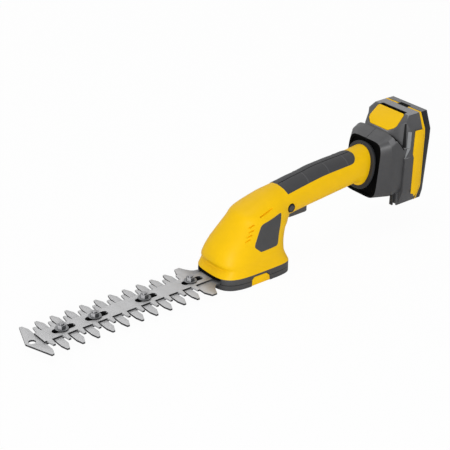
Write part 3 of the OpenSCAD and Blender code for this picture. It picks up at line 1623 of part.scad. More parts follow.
lower_blade();
upper_blade();
blade_bolts();
blade_bushes();
blade_washers();
blade_nuts();
tail_screws();
base_cover();
left_release();
right_release();
left_release_spring();
right_release_spring();
left_housing();
right_housing();
housing_screws();
left_panel();
right_panel();
left_grip();
right_grip();
gear_plate();
crank_bush();
crank_shaft();
crank_clip();
crank_gear();
crank_pin();
crank_roller();
motor_can();
motor_magnets();
motor_endcap();
motor_bushes();
motor_rotor();
motor_shaft();
motor_pinion();
motor_screws();
trigger();
trigger_pin();
trigger_spring();
switch_body();
switch_plunger();
lock_button();
lock_spring();
collar_ring();
adapter_plate();
left_adapter();
right_adapter();
adapter_screws();
rail_plate();
terminal_block();
terminal_blades();
battery_front_case();
battery_rear_case();
battery_stripe();
battery_labels();
battery_cells();
cell_holder();
battery_board();
battery_screws();
battery_button();
button_spring();
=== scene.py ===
import json
import math

import bmesh
import bpy
import numpy as np
from mathutils import Matrix, Vector


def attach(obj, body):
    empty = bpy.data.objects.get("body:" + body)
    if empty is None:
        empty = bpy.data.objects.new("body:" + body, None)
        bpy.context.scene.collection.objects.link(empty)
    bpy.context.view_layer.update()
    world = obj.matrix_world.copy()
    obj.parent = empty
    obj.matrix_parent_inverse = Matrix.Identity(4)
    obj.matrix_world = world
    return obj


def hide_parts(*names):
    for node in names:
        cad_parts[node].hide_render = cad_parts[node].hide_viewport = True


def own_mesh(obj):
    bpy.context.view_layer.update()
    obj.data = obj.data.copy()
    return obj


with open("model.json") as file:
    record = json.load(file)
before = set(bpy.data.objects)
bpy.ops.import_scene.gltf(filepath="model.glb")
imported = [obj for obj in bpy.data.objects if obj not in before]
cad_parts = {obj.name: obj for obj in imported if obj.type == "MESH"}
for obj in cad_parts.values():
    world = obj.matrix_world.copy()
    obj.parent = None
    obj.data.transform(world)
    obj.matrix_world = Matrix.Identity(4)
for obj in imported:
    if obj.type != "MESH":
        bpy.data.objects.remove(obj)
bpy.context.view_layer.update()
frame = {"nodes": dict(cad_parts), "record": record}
MM = 0.001
SIDES = (("left", -1), ("right", 1))


# Sizes of the part, in millimetres
HEAD_FRONT, HEAD_REAR, HEAD_W = 45.1, 44.0, 65.0
BASE_H, SHOULDER_Z = 12.75, 46.0
FLOOR_LOW, FLOOR_HIGH, FLOOR_HALF, FLOOR_AHEAD, FLOOR_BEHIND = 8.51, 8.56, 3.9, 15.0, 19.0
MOUTH_HALF = 18.3
LIP_REACH, LIP_LOW, LIP_HIGH = 2.2, 10.75, 12.3
GRIP_X, GRIP_Z, RIM_X, RIM_Z = 76.0, 73.7, 163.0, 79.0
HANDLE_H, HANDLE_W, RIM_LEAN = 37.6, 35.0, 4.3
WALL = 2.8
GROOVE_FROM, GROOVE_SPAN, GROOVE_FADE = 14, 40, 0.75
HEAD_SHARES = [
    [0, 1, 1, 1, 3.4, 6], [0.113, 0.949, 0.968, 0.978, 3.3, 5.5], [0.203, 0.896, 0.943, 0.966, 3.2, 5],
    [0.263, 0.891, 0.932, 0.960, 3.1, 4.8], [0.338, 0.945, 0.916, 0.957, 3, 4.5],
    [0.459, 0.971, 0.925, 0.951, 2.7, 4], [0.699, 0.909, 0.966, 0.908, 2.5, 3.5],
    [1, 0.756, 1.066, 0.840, 2.4, 3]]
CROWN_SHARES = [
    [0.156, 0.357, 0.114, 0.517, 0.163, 2.35, 2.8], [0.254, 0.591, 0.166, 0.697, 0.286, 2.3, 2.6],
    [0.519, 0.806, 0.208, 0.787, 0.602, 2.3, 2.4], [0.683, 0.890, 0.270, 0.809, 0.847, 2.3, 2.3]]
HANDLE_SHARES = [
    [0, 0, 1, -0.395, 1, 2.3], [0.276, 0.528, 1.037, -0.395, 1, 2.3],
    [0.621, 0.972, 0.992, -0.395, 1.006, 2.3], [0.851, 1.245, 0.968, -0.395, 1.029, 2.3],
    [1, 1, 1.202, 1, 1, 2.2]]
PANEL_SHARES = [
    [0.725, 1.483], [0.745, 1.439], [0.564, 0.807], [0.514, 0.765], [0.027, 0.757],
    [-0.002, 0.770], [-0.139, 0.893], [-0.136, 0.948], [0.095, 1.326], [0.173, 1.372]]
VENT_SHARES = [
    [0.139, 1.515, 0.500, 1.620], [-0.186, 1.324, -0.064, 1.374], [-0.211, 1.239, -0.098, 1.272],
    [-0.284, 1.146, -0.166, 1.178], [-0.345, 1.057, -0.234, 1.093]]
BOSS_IN, BOSS_OUT = 3.2, 4.0
VENT_R, VENT_LONG, VENT_SHORT = 0.75, 0.9, 0.45
BOSS_SHARES = [[6.4, 0.64], [8, -0.58], [11.6, 0.5], [13.13, 0], [14.55, 0]]
ADAPT_X, ADAPT_LEN, ADAPT_Z, ADAPT_H, ADAPT_HALF, ADAPT_WALL = 169.2, 30.3, 41.2, 75.3, 32.6, 2.8
ADAPTER_SHARES = [
    [0.099, 0.896, -0.099, 0.030, 0.760, 6], [0.356, 0.959, 0.571, 0.004, 0.994, 5.5],
    [0.554, 1, 0.620, 0, 1, 5.5], [1, 1, 1, 0, 1, 5.5]]
ADAPTER_SCREWS = [(176.6, 51.0), (179.86, 102.95)]
ADAPTER_BOSS_IN, ADAPTER_BOSS_OUT = 2.8, 3.2
EAR_X, EAR_TOP_X, EAR_LOW, EAR_TOP, EAR_POWER = 199.9, 186.15, 98.43, 116.9, 5.5
BEVEL_X, BEVEL_LEN, BATTERY_HALF = 199.9, 8.0, 34.5
# Raised strips on the battery's sides, whose pale colour is a painted highlight
LIT_FACET_STRIPS = [(25.2, 98.5, 0.6, 0.93, 118.0, 0.62, 0.95), (29.4, 88.0, 0.34, 0.46, 98.4, 0.55, 0.92)]
# Black patch on the battery's bevel at the neck: painted shade
NOTCH_SHADE = (25.2, 99.0, 0.2, 0.54, 127.0, 0.26, 0.42)
FRONT_EDGE = -246.7
# Span and strength of the painted shadow on the blade under the head
HEAD_SHADOW_START, HEAD_SHADOW_END, HEAD_SHADOW_SHARE = -64.0, -47.0, 0.75
NUTS = [-249.69 + 188.19 * share for share in (0.1473, 0.3478, 0.6603, 0.9657)]
GRIP_LINES = (54.0, 76.7, 105.7, 133.0, 158.0)
GRIP_START, GRIP_BEND, GRIP_END, GRIP_ANGLE = 11.17, 14.35, 15.0, 54.0
GRIP_GIRTH, GRIP_RUN, GRIP_INSET = 16.0, 100.0, 1.0
LOCK_X, LOCK_Z, LOCK_D, LOCK_RING = 49.5, 66.6, 9.0, 0.7
RING_OUT, RING_IN, RING_TOP, RING_DEEP = 5.19, 4.65, 0.3, 2.4
TRIGGER_X, TRIGGER_LEN, TRIGGER_W, TRIGGER_Z, PIVOT_Z = 57.6, 25.2, 13.0, 48.0, 61.0


# Shape of the housing
def mix(a, b, s):
    return a + (b - a) * s


def head_station(h):
    z = mix(BASE_H, SHOULDER_Z, h[0])
    return [-HEAD_FRONT * h[1], z, HEAD_REAR * h[2], z, HEAD_W / 2 * h[3], h[4], h[5]]


def handle_station(h):
    x = mix(GRIP_X, RIM_X, h[0])
    z = mix(GRIP_Z, RIM_Z, h[1])
    dz = HANDLE_H / 2 * h[2]
    dx = RIM_LEAN * h[3]
    return [x + dx, z + dz, x - dx, z - dz, HANDLE_W / 2 * h[4], h[5], h[5]]


def crown_station(h):
    a = head_station(HEAD_SHARES[7])
    b = handle_station(HANDLE_SHARES[0])
    return [mix(a[k], b[k], h[k]) for k in range(5)] + [h[5], h[6]]


STATIONS = np.array(
    [head_station(h) for h in HEAD_SHARES]
    + [crown_station(h) for h in CROWN_SHARES]
    + [handle_station(h) for h in HANDLE_SHARES])
LAST = len(STATIONS) - 1

# The same without the groove at the head's front
FULL = STATIONS.copy()
for k, share in ((1, 0.975), (2, 0.958), (3, 0.955), (4, 0.962)):
    FULL[k][0] = -HEAD_FRONT * share


def station(u, table=STATIONS):
    i = int(max(0, min(math.floor(u), LAST - 1)))
    t = u - i
    a = table[max(i - 1, 0)]
    b = table[i]
    c = table[i + 1]
    d = table[min(i + 2, LAST)]
    square = 2 * a - 5 * b + 4 * c - d
    cube = 3 * b - a - 3 * c + d
    return (2 * b + (c - a) * t + square * t ** 2 + cube * t ** 3) / 2


def bend(c, n):
    return math.copysign(abs(c) ** (2 / n), c)


def rim_point(s, angle, inset=0.0):
    ca = math.cos(math.radians(angle))
    sa = math.sin(math.radians(angle))
    n = s[5] if ca >= 0 else s[6]
    hx = (s[0] - s[2]) / 2
    hz = (s[1] - s[3]) / 2
    k = 1 - inset / math.hypot(hx, hz)
    c = bend(ca, n)
    y = (s[4] - inset) * bend(max(sa, 0.0), n)
    return ((s[0] + s[2]) / 2 + hx * k * c, y, (s[1] + s[3]) / 2 + hz * k * c)


def find_station(x, z):
    low, high = 0.0, float(LAST)
    for _ in range(22):
        m = (low + high) / 2
        s = station(m)
        if (s[0] - s[2]) * (z - s[3]) - (s[1] - s[3]) * (x - s[2]) < 0:
            low = m
        else:
            high = m
    return (low + high) / 2


def skin_y(x, z):
    s = station(find_station(x, z))
    hx = (s[0] - s[2]) / 2
    hz = (s[1] - s[3]) / 2
    c = ((x - (s[0] + s[2]) / 2) * hx + (z - (s[1] + s[3]) / 2) * hz) / (hx * hx + hz * hz)
    n = s[5] if c >= 0 else s[6]
    return s[4] * max(0.0, 1 - abs(c) ** n) ** (1 / n)


# Mesh helpers
def to_object(name, verts, faces, angle=35):
    mesh = bpy.data.meshes.new(name)
    mesh.from_pydata([tuple(c * MM for c in v) for v in verts], [], faces)
    mesh.validate()
    bm = bmesh.new()
    bm.from_mesh(mesh)
    bmesh.ops.remove_doubles(bm, verts=bm.verts, dist=1e-7)
    bmesh.ops.recalc_face_normals(bm, faces=bm.faces)
    bm.to_mesh(mesh)
    bm.free()
    ob = bpy.data.objects.new(name, mesh)
    bpy.context.scene.collection.objects.link(ob)
    soften(ob, angle)
    return ob


def soften(ob, angle):
    for p in ob.data.polygons:
        p.use_smooth = True
    ob.data.set_sharp_from_angle(angle=math.radians(angle))


def cut(ob, cutters):
    for c in cutters:
        mod = ob.modifiers.new("cut", "BOOLEAN")
        mod.operation = "DIFFERENCE"
        mod.solver = "EXACT"
        mod.object = c
    deps = bpy.context.evaluated_depsgraph_get()
    mesh = bpy.data.meshes.new_from_object(ob.evaluated_get(deps))
    ob.modifiers.clear()
    ob.data = mesh
    for c in cutters:
        bpy.data.objects.remove(c)


def prism(name, points, y0, y1):
    n = len(points)
    verts = [(q[0], y0, q[1]) for q in points] + [(q[0], y1, q[1]) for q in points]
    faces = [tuple(range(n)), tuple(range(2 * n - 1, n - 1, -1))]
    for k in range(n):
        j = (k + 1) % n
        faces.append((k, n + k, n + j, j))
    return to_object(name, verts, faces)


def circle(x, z, r, sides):
    turns = [2 * math.pi * k / sides for k in range(sides)]
    return [(x + r * math.cos(a), z + r * math.sin(a)) for a in turns]


def rod(name, x, z, r, y0, y1, sides=48):
    return prism(name, circle(x, z, r, sides), y0, y1)


def closed_tube(name, loops):
    sides = len(loops[0])
    faces = []
    for i in range(len(loops)):
        n = (i + 1) % len(loops)
        for k in range(sides):
            j = (k + 1) % sides
            faces.append((i * sides + k, i * sides + j, n * sides + j, n * sides + k))
    return to_object(name, [q for loop in loops for q in loop], faces)


def tube(name, x, z, r_in, r_out, y0, y1, sides=48):
    loops = []
    for r, y in ((r_out, y0), (r_out, y1), (r_in, y1), (r_in, y0)):
        loops.append([(q[0], y, q[1]) for q in circle(x, z, r, sides)])
    return closed_tube(name, loops)


def block(name, low, high):
    verts = [(x, y, z) for x in (low[0], high[0]) for y in (low[1], high[1]) for z in (low[2], high[2])]
    faces = [(0, 1, 3, 2), (4, 6, 7, 5), (0, 4, 5, 1), (2, 3, 7, 6), (0, 2, 6, 4), (1, 5, 7, 3)]
    return to_object(name, verts, faces)


def capsule(name, x0, z0, x1, z1, r, y0, y1, ends=14):
    turn = math.atan2(z1 - z0, x1 - x0)
    outline = []
    for k in range(ends + 1):
        a = turn + math.pi / 2 + math.pi * k / ends
        outline.append((x0 + r * math.cos(a), z0 + r * math.sin(a)))
    for k in range(ends + 1):
        a = turn - math.pi / 2 + math.pi * k / ends
        outline.append((x1 + r * math.cos(a), z1 + r * math.sin(a)))
    return prism(name, outline, y0, y1)


def round_edges(ob, width, segments=2, angle=30):
    weld = ob.modifiers.new("weld", "WELD")
    weld.merge_threshold = 1e-6
    bev = ob.modifiers.new("bevel", "BEVEL")
    bev.width = width * MM
    bev.segments = segments
    bev.limit_method = "ANGLE"
    bev.angle_limit = math.radians(angle)
    bev.use_clamp_overlap = True
    bev.miter_outer = "MITER_ARC"
    smooth_nodes(ob)


SMOOTH = None


def smooth_nodes(ob):
    global SMOOTH
    if SMOOTH is None:
        g = bpy.data.node_groups.new("soft_shading", "GeometryNodeTree")
        g.interface.new_socket("Geometry", in_out="INPUT", socket_type="NodeSocketGeometry")
        g.interface.new_socket("Geometry", in_out="OUTPUT", socket_type="NodeSocketGeometry")
        start = g.nodes.new("NodeGroupInput")
        end = g.nodes.new("NodeGroupOutput")
        edge = g.nodes.new("GeometryNodeInputMeshEdgeAngle")
        above = g.nodes.new("FunctionNodeCompare")
        above.data_type = "FLOAT"
        above.operation = "GREATER_THAN"
        above.inputs[1].default_value = math.radians(28)
        sharp = g.nodes.new("GeometryNodeSetShadeSmooth")
        sharp.domain = "EDGE"
        sharp.inputs["Shade Smooth"].default_value = False
        faces = g.nodes.new("GeometryNodeSetShadeSmooth")
        faces.domain = "FACE"
        faces.inputs["Shade Smooth"].default_value = True
        g.links.new(start.outputs[0], faces.inputs[0])
        g.links.new(faces.outputs[0], sharp.inputs[0])
        g.links.new(edge.outputs[0], above.inputs[0])
        g.links.new(above.outputs[0], sharp.inputs["Selection"])
        g.links.new(sharp.outputs[0], end.inputs[0])
        SMOOTH = g
    mod = ob.modifiers.new("soft_shading", "NODES")
    mod.node_group = SMOOTH


# Materials
def linear(rgb):
    out = []
    for v in rgb:
        c = v / 255
        out.append(c / 12.92 if c <= 0.04045 else ((c + 0.055) / 1.055) ** 2.4)
    return out


def material(name, rgb, rough, spread=0.05, grain=1800.0, bump=0.05, metal=0.0, stretch=None, spec=0.5):
    m = bpy.data.materials.new(name)
    m.use_nodes = True
    t = m.node_tree
    bsdf = t.nodes["Principled BSDF"]
    bsdf.inputs["Metallic"].default_value = metal
    bsdf.inputs["Specular IOR Level"].default_value = spec
    where = t.nodes.new("ShaderNodeTexCoord")
    source = where.outputs["Object"]
    if stretch:
        mapping = t.nodes.new("ShaderNodeMapping")
        mapping.inputs["Scale"].default_value = stretch
        t.links.new(source, mapping.inputs["Vector"])
        source = mapping.outputs["Vector"]
    cloud = t.nodes.new("ShaderNodeTexNoise")
    cloud.inputs["Scale"].default_value = grain / 20
    cloud.inputs["Detail"].default_value = 5
    t.links.new(source, cloud.inputs["Vector"])
    ramp = t.nodes.new("ShaderNodeValToRGB")
    base = linear(rgb)
    ramp.color_ramp.elements[0].position = 0.3
    ramp.color_ramp.elements[1].position = 0.7
    ramp.color_ramp.elements[0].color = [c * (1 - spread) for c in base] + [1]
    ramp.color_ramp.elements[1].color = [min(1, c * (1 + spread)) for c in base] + [1]
    t.links.new(cloud.outputs["Fac"], ramp.inputs["Fac"])
    t.links.new(ramp.outputs["Color"], bsdf.inputs["Base Color"])
    span = t.nodes.new("ShaderNodeMapRange")
    span.inputs["To Min"].default_value = max(0.02, rough - 0.06)
    span.inputs["To Max"].default_value = min(1, rough + 0.06)
    t.links.new(cloud.outputs["Fac"], span.inputs["Value"])
    t.links.new(span.outputs["Result"], bsdf.inputs["Roughness"])
    fine = t.nodes.new("ShaderNodeTexNoise")
    fine.inputs["Scale"].default_value = grain
    fine.inputs["Detail"].default_value = 3
    t.links.new(source, fine.inputs["Vector"])
    relief = t.nodes.new("ShaderNodeBump")
    relief.inputs["Strength"].default_value = bump
    relief.inputs["Distance"].default_value = 0.0004
    t.links.new(fine.outputs["Fac"], relief.inputs["Height"])
    t.links.new(relief.outputs["Normal"], bsdf.inputs["Normal"])
    return m


# Painted shade: faces whose normal is near horizontal (the sides of thin parts) get a darker colour
def paint_shaded_sides(m, rgb):
    t = m.node_tree
    bsdf = t.nodes["Principled BSDF"]
    face = bsdf.inputs["Base Color"].links[0].from_socket
    shape = t.nodes.new("ShaderNodeNewGeometry")
    split = t.nodes.new("ShaderNodeSeparateXYZ")
    t.links.new(shape.outputs["True Normal"], split.inputs[0])
    size = t.nodes.new("ShaderNodeMath")
    size.operation = "ABSOLUTE"
    t.links.new(split.outputs["Z"], size.inputs[0])
    span = t.nodes.new("ShaderNodeMapRange")
    span.inputs["From Min"].default_value = 0.35
    span.inputs["From Max"].default_value = 0.75
    t.links.new(size.outputs[0], span.inputs["Value"])
    both = t.nodes.new("ShaderNodeMix")
    both.data_type = "RGBA"
    both.inputs["A"].default_value = linear(rgb) + [1]
    t.links.new(span.outputs["Result"], both.inputs["Factor"])
    t.links.new(face, both.inputs["B"])
    t.links.new(both.outputs["Result"], bsdf.inputs["Base Color"])


def recolour(m, mask, rgb):
    t = m.node_tree
    bsdf = t.nodes["Principled BSDF"]
    old = bsdf.inputs["Base Color"].links[0].from_socket
    both = t.nodes.new("ShaderNodeMix")
    both.data_type = "RGBA"
    both.inputs["B"].default_value = linear(rgb) + [1]
    t.links.new(mask, both.inputs["Factor"])
    t.links.new(old, both.inputs["A"])
    t.links.new(both.outputs["Result"], bsdf.inputs["Base Color"])


def math_node(t, kind, a, b):
    n = t.nodes.new("ShaderNodeMath")
    n.operation = kind
    for socket, value in ((n.inputs[0], a), (n.inputs[1], b)):
        if isinstance(value, (int, float)):
            socket.default_value = value
        else:
            t.links.new(value, socket)
    return n.outputs[0]


def place(t):
    where = t.nodes.new("ShaderNodeTexCoord")
    split = t.nodes.new("ShaderNodeSeparateXYZ")
    t.links.new(where.outputs["Object"], split.inputs[0])
    return split.outputs


# Painted highlight: faces turned along X, behind the blade's tip, are coloured as bright as the lit top
def paint_lit_flanks(m, rgb):
    t = m.node_tree
    shape = t.nodes.new("ShaderNodeNewGeometry")
    split = t.nodes.new("ShaderNodeSeparateXYZ")
    t.links.new(shape.outputs["True Normal"], split.inputs[0])
    along = math_node(t, "MULTIPLY", split.outputs["X"], split.outputs["X"])
    flank = math_node(t, "GREATER_THAN", along, 0.8)
    behind = math_node(t, "GREATER_THAN", place(t)["X"], (FRONT_EDGE + 2) * MM)
    recolour(m, math_node(t, "MULTIPLY", flank, behind), rgb)


def stripe(m, axis, low, high, rgb):
    t = m.node_tree
    at = place(t)[axis]
    after = math_node(t, "GREATER_THAN", at, low * MM)
    before = math_node(t, "LESS_THAN", at, high * MM)
    recolour(m, math_node(t, "MULTIPLY", after, before), rgb)


# Painted shade: the part is coloured dark ahead of x and below z
def paint_foot_shade(m, x, z, rgb):
    t = m.node_tree
    at = place(t)
    before = math_node(t, "LESS_THAN", at["X"], x * MM)
    below = math_node(t, "LESS_THAN", at["Z"], z * MM)
    recolour(m, math_node(t, "MULTIPLY", before, below), rgb)


# Painted highlight: faces turned towards the given way get a lighter colour
def lit_faces(m, way, least, rgb):
    t = m.node_tree
    shape = t.nodes.new("ShaderNodeNewGeometry")
    dot = t.nodes.new("ShaderNodeVectorMath")
    dot.operation = "DOT_PRODUCT"
    dot.inputs[1].default_value = way
    t.links.new(shape.outputs["Normal"], dot.inputs[0])
    span = t.nodes.new("ShaderNodeMapRange")
    span.inputs["From Min"].default_value = least
    span.inputs["From Max"].default_value = least + 0.06
    t.links.new(dot.outputs["Value"], span.inputs["Value"])
    recolour(m, span.outputs["Result"], rgb)


# Painted shadow: the blade darkens towards the head, where the head overhangs it
def paint_head_shadow(m):
    t = m.node_tree
    span = t.nodes.new("ShaderNodeMapRange")
    span.inputs["From Min"].default_value = HEAD_SHADOW_START * MM
    span.inputs["From Max"].default_value = HEAD_SHADOW_END * MM
    span.inputs["To Max"].default_value = HEAD_SHADOW_SHARE
    t.links.new(place(t)["X"], span.inputs["Value"])
    recolour(m, span.outputs["Result"], (88, 88, 89))


# Painted shade: the part is coloured dark outside a radius round a point
def paint_rim_shade(m, x, z, r, rgb):
    t = m.node_tree
    at = place(t)
    dx = math_node(t, "SUBTRACT", at["X"], x * MM)
    dz = math_node(t, "SUBTRACT", at["Z"], z * MM)
    far = math_node(t, "ADD", math_node(t, "MULTIPLY", dx, dx), math_node(t, "MULTIPLY", dz, dz))
    recolour(m, math_node(t, "GREATER_THAN", far, (r * MM) ** 2), rgb)


YELLOW = material("yellow_plastic", (249, 198, 6), 0.45, 0.02, 2200, 0.05, spec=0.15)
LABEL = material("label_film", (249, 196, 8), 0.5, 0.02, 1200, 0.03, spec=0.15)
DARK = material("dark_plastic", (64, 64, 66), 0.42, 0.07, 2200, 0.12, spec=0.5)
PANEL = material("panel_plastic", (66, 66, 67), 0.5, 0.06, 2600, 0.10, spec=0.4)
BLACK = material("black_plastic", (14, 14, 15), 0.5, 0.10, 2000, 0.10, spec=0.2)
# Near-black for dark seams, and for sheets that stand in for shade in slots, gaps and hollows (painted
# shade)
SHADE_AND_SEAM_BLACK = material("recess_black", (6, 6, 6), 0.8, 0.05, 2000, 0.02, spec=0.05)
BASE = material("base_plastic", (64, 64, 65), 0.45, 0.08, 2000, 0.10, spec=0.5)
# Painted shade: a dark band round the base cover just below the lower blade
stripe(BASE, "Z", 5.6, 6.5, (16, 16, 17))
# Battery rear case: the lighter upward faces are a painted highlight
REAR = material("rear_plastic", (24, 24, 26), 0.5, 0.08, 2000, 0.10, spec=0.25)
lit_faces(REAR, (0, 0, 1), 0.8, (118, 118, 120))
COLLAR = material("collar_plastic", (44, 44, 46), 0.45, 0.07, 2200, 0.10, spec=0.3)
# Painted highlight: the pale colour stands for a facet catching light
LIT_FACET = material("pale_strip", (136, 138, 140), 0.45, 0.05, 1500, 0.05)
# Lock button: its dark outer rim is painted shade from the gap round it
LOCK = material("lock_plastic", (66, 66, 68), 0.45, 0.07, 2200, 0.10, spec=0.3)
paint_rim_shade(LOCK, LOCK_X, LOCK_Z, 3.3, (12, 12, 13))
GRIP = material("soft_grip", (58, 58, 60), 0.62, 0.07, 2600, 0.22, spec=0.35)
# Painted highlight: lighter bands along the grip's ridges
for line in GRIP_LINES[1:-1]:
    stripe(GRIP, "X", line - 0.5, line + 0.5, (76, 76, 78))
# Battery front case: the lighter upward faces are a painted highlight and the dark front foot is painted
# shade
CASE = material("case_plastic", (69, 69, 71), 0.42, 0.07, 2200, 0.12, spec=0.5)
lit_faces(CASE, (-0.1, 0, 0.99), 0.85, (134, 134, 136))
paint_foot_shade(CASE, 195.6, 46.0, (14, 14, 15))
# Adapter: the lighter faces along its upper corners are a painted highlight
SHELL = material("adapter_plastic", (64, 64, 66), 0.42, 0.07, 2200, 0.12, spec=0.5)
lit_faces(SHELL, (-0.2, -0.72, 0.66), 0.9, (104, 104, 106))
lit_faces(SHELL, (-0.2, 0.72, 0.66), 0.9, (104, 104, 106))
# Blade steel: darker sides are painted shade, the upper blade's bright flanks are a painted highlight, and
# the darkening towards the head is a painted shadow
STEEL = material("blade_steel", (188, 188, 189), 0.5, 0.03, 2600, 0.05, 0.35, (0.3, 1.5, 1.0), 0.3)
paint_shaded_sides(STEEL, (60, 60, 62))
UPPER = material("upper_steel", (188, 188, 189), 0.5, 0.03, 2600, 0.05, 0.35, (0.3, 1.5, 1.0), 0.3)
paint_shaded_sides(UPPER, (34, 34, 36))
paint_lit_flanks(UPPER, (190, 190, 191))
paint_head_shadow(STEEL)
paint_head_shadow(UPPER)
# Nuts and spring coils: the bright face turned to the front left and the lighter tops are painted highlights
BOLT = material("fastener_steel", (62, 63, 65), 0.32, 0.08, 1500, 0.06, 0.3, spec=0.6)
lit_faces(BOLT, (-0.87, -0.5, 0), 0.9, (196, 196, 198))
lit_faces(BOLT, (0, 0, 1), 0.9, (140, 140, 142))
# Washers: their black sides are painted shade
WASHER = material("washer_steel", (116, 117, 119), 0.4, 0.08, 1500, 0.06, 0.4)
paint_shaded_sides(WASHER, (16, 16, 17))
DRIVE = material("drive_steel", (128, 128, 131), 0.4, 0.08, 1200, 0.08, 1.0)
BRONZE = material("bronze", (176, 132, 66), 0.42, 0.10, 1500, 0.08, 1.0)
MAGNET = material("magnet", (46, 46, 50), 0.7, 0.12, 2400, 0.2)
CELL = material("cell_wrap", (36, 110, 66), 0.35, 0.04, 900, 0.02)
BOARD = material("board", (24, 92, 46), 0.45, 0.08, 1600, 0.05)
SLOTS = {
    "blade_steel": STEEL, "fastener_steel": BOLT, "yellow_plastic": YELLOW, "label_film": LABEL,
    "dark_plastic": DARK, "black_plastic": BLACK, "soft_grip": GRIP, "drive_steel": DRIVE,
    "bronze": BRONZE, "magnet": MAGNET, "cell_wrap": CELL, "board": BOARD}
NODE_SLOT = {s["node"]: s["material_slot"] for s in frame["record"]["subparts"]}


def paint(ob, m):
    ob.data.materials.clear()
    ob.data.materials.append(m)


def piece(ob, m, slot, *nodes, body="housing"):
    if m:
        paint(ob, m)
    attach(ob, body)
    if nodes:
        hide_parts(*nodes)


# Housing halves
def half_shell(name, rings):
    m = len(rings[0])
    verts = [tuple(q) for r in rings for q in r]
    faces = []
    for i in range(len(rings) - 1):
        for j in range(m):
            b = i * m + (j + 1) % m
            faces.append((i * m + j, b, b + m, i * m + j + m))
    top = (len(rings) - 1) * m
    for j in range(m // 2 - 1):
        faces.append((j, m - 1 - j, m - 2 - j, j + 1))
        faces.append((top + j, top + j + 1, top + m - 2 - j, top + m - 1 - j))
    return to_object(name, verts, faces)


def housing_half(name, side):
    steps = 9
    count = 60
    rings = []
    for i in range(steps * LAST + 1):
        s = station(i / steps)
        full = station(i / steps, FULL)
        ring = []
        for k in range(count + 1):
            fade = min(1, max(0, (180 * k / count - GROOVE_FROM) / GROOVE_SPAN))
            fade = GROOVE_FADE * fade * fade * (3 - 2 * fade)
            ring.append(rim_point(s * (1 - fade) + full * fade, 180 * k / count))
        ring += [rim_point(s, 180 * k / count, WALL) for k in range(count, -1, -1)]
        rings.append([(p[0], side * p[1], p[2]) for p in ring])
    ob = half_shell(name, rings)
    cutters = []
    for k, v in enumerate(VENT_SHARES):
        x0, z0, x1, z1 = v[0] * HEAD_REAR, v[1] * SHOULDER_Z, v[2] * HEAD_REAR, v[3] * SHOULDER_Z
        y = min(skin_y(x0, z0), skin_y(x1, z1))
        depth = VENT_LONG if k == 0 else VENT_SHORT
        cutters.append(capsule("vent", x0, z0, x1, z1, VENT_R, side * (y - depth), side * (y + 6)))
    cutters.append(rod("lock_hole", LOCK_X, LOCK_Z, LOCK_D / 2 + LOCK_RING, 0, side * HEAD_W))
    cutters.append(block("trigger_slot", (TRIGGER_X - 0.8, side * -1.0, TRIGGER_Z - 1),
                         (TRIGGER_X + TRIGGER_LEN + 2.0, side * (TRIGGER_W / 2 + 0.4), PIVOT_Z)))
    if side > 0:
        for x, z in BOSSES:
            cutters.append(rod("screw_hole", x, z, BOSS_IN, 6.0, HEAD_W))
    cut(ob, cutters)
    soften(ob, 32)
    return ob


BOSSES = []
for u, share in BOSS_SHARES:
    s = station(u)
    BOSSES.append((mix((s[0] + s[2]) / 2, s[0], share), mix((s[1] + s[3]) / 2, s[1], share)))
for name, side in SIDES:
    piece(housing_half(name + "_shell", side), YELLOW, "yellow_plastic", name + "_housing")
for k, (x, z) in enumerate(BOSSES):
    around = ((-BOSS_OUT, 0), (BOSS_OUT, 0), (0, -BOSS_OUT), (0, BOSS_OUT))
    low = min(skin_y(x + dx, z + dz) for dx, dz in around)
    piece(tube("screw_boss_%d" % k, x, z, BOSS_IN, BOSS_OUT, 5.0, low - 0.6), YELLOW, "yellow_plastic")


def ribbon(name, rows, thick):
    verts = []
    for low, high, normal in rows:
        n = np.array(normal, float)
        n = n / np.linalg.norm(n) * thick
        a = np.array(low, float)
        b = np.array(high, float)
        verts += [tuple(a), tuple(b), tuple(b - n), tuple(a - n)]
    faces = [(3, 2, 1, 0)]
    for i in range(len(rows) - 1):
        for k in range(4):
            j = (k + 1) % 4
            faces.append((4 * i + k, 4 * i + j, 4 * i + 4 + j, 4 * i + 4 + k))
    last = 4 * (len(rows) - 1)
    faces.append((last, last + 1, last + 2, last + 3))
    return to_object(name, verts, faces)


# Black plates under the upper blade's slots: painted shade seen through the slots
for k, x in enumerate(NUTS):
    low = (x - FLOOR_AHEAD, -FLOOR_HALF, FLOOR_LOW)
    high = (x + FLOOR_BEHIND, FLOOR_HALF, FLOOR_HIGH)
    piece(block("slot_floor_%d" % k, low, high), SHADE_AND_SEAM_BLACK, "black_plastic")


# Black lip over the blade's mouth: partly the real black lintel, partly painted shade in the mouth
def lip_rows():
    s = station(0)
    turns = [a for a in range(0, 90, 2) if rim_point(s, a)[1] < MOUTH_HALF]
    rows = []
    for a in [-a for a in turns[:0:-1]] + turns:
        side = -1 if a < 0 else 1
        out = rim_point(s, abs(a), -LIP_REACH * (1 - 0.8 * (a / turns[-1]) ** 4))
        back = rim_point(s, abs(a), LIP_REACH)
        way = (out[0] - back[0], side * (out[1] - back[1]), 0)
        rows.append(((out[0], side * out[1], LIP_LOW), (out[0], side * out[1], LIP_HIGH), way))
    return rows


piece(ribbon("mouth_lip", lip_rows(), 5.0), SHADE_AND_SEAM_BLACK, "black_plastic")


# Black ring in the gap round the lock button: painted shade
def lock_gap_shade(name, side, sides=64):
    loops = []
    for r, drop in ((RING_OUT, RING_DEEP), (RING_OUT, RING_TOP), (RING_IN, RING_TOP), (RING_IN, RING_DEEP)):
        loops.append([(x, side * (skin_y(x, z) - drop), z) for x, z in circle(LOCK_X, LOCK_Z, r, sides)])
    return closed_tube(name, loops)


for name, side in SIDES:
    piece(lock_gap_shade(name + "_lock_ring", side), SHADE_AND_SEAM_BLACK, "black_plastic")


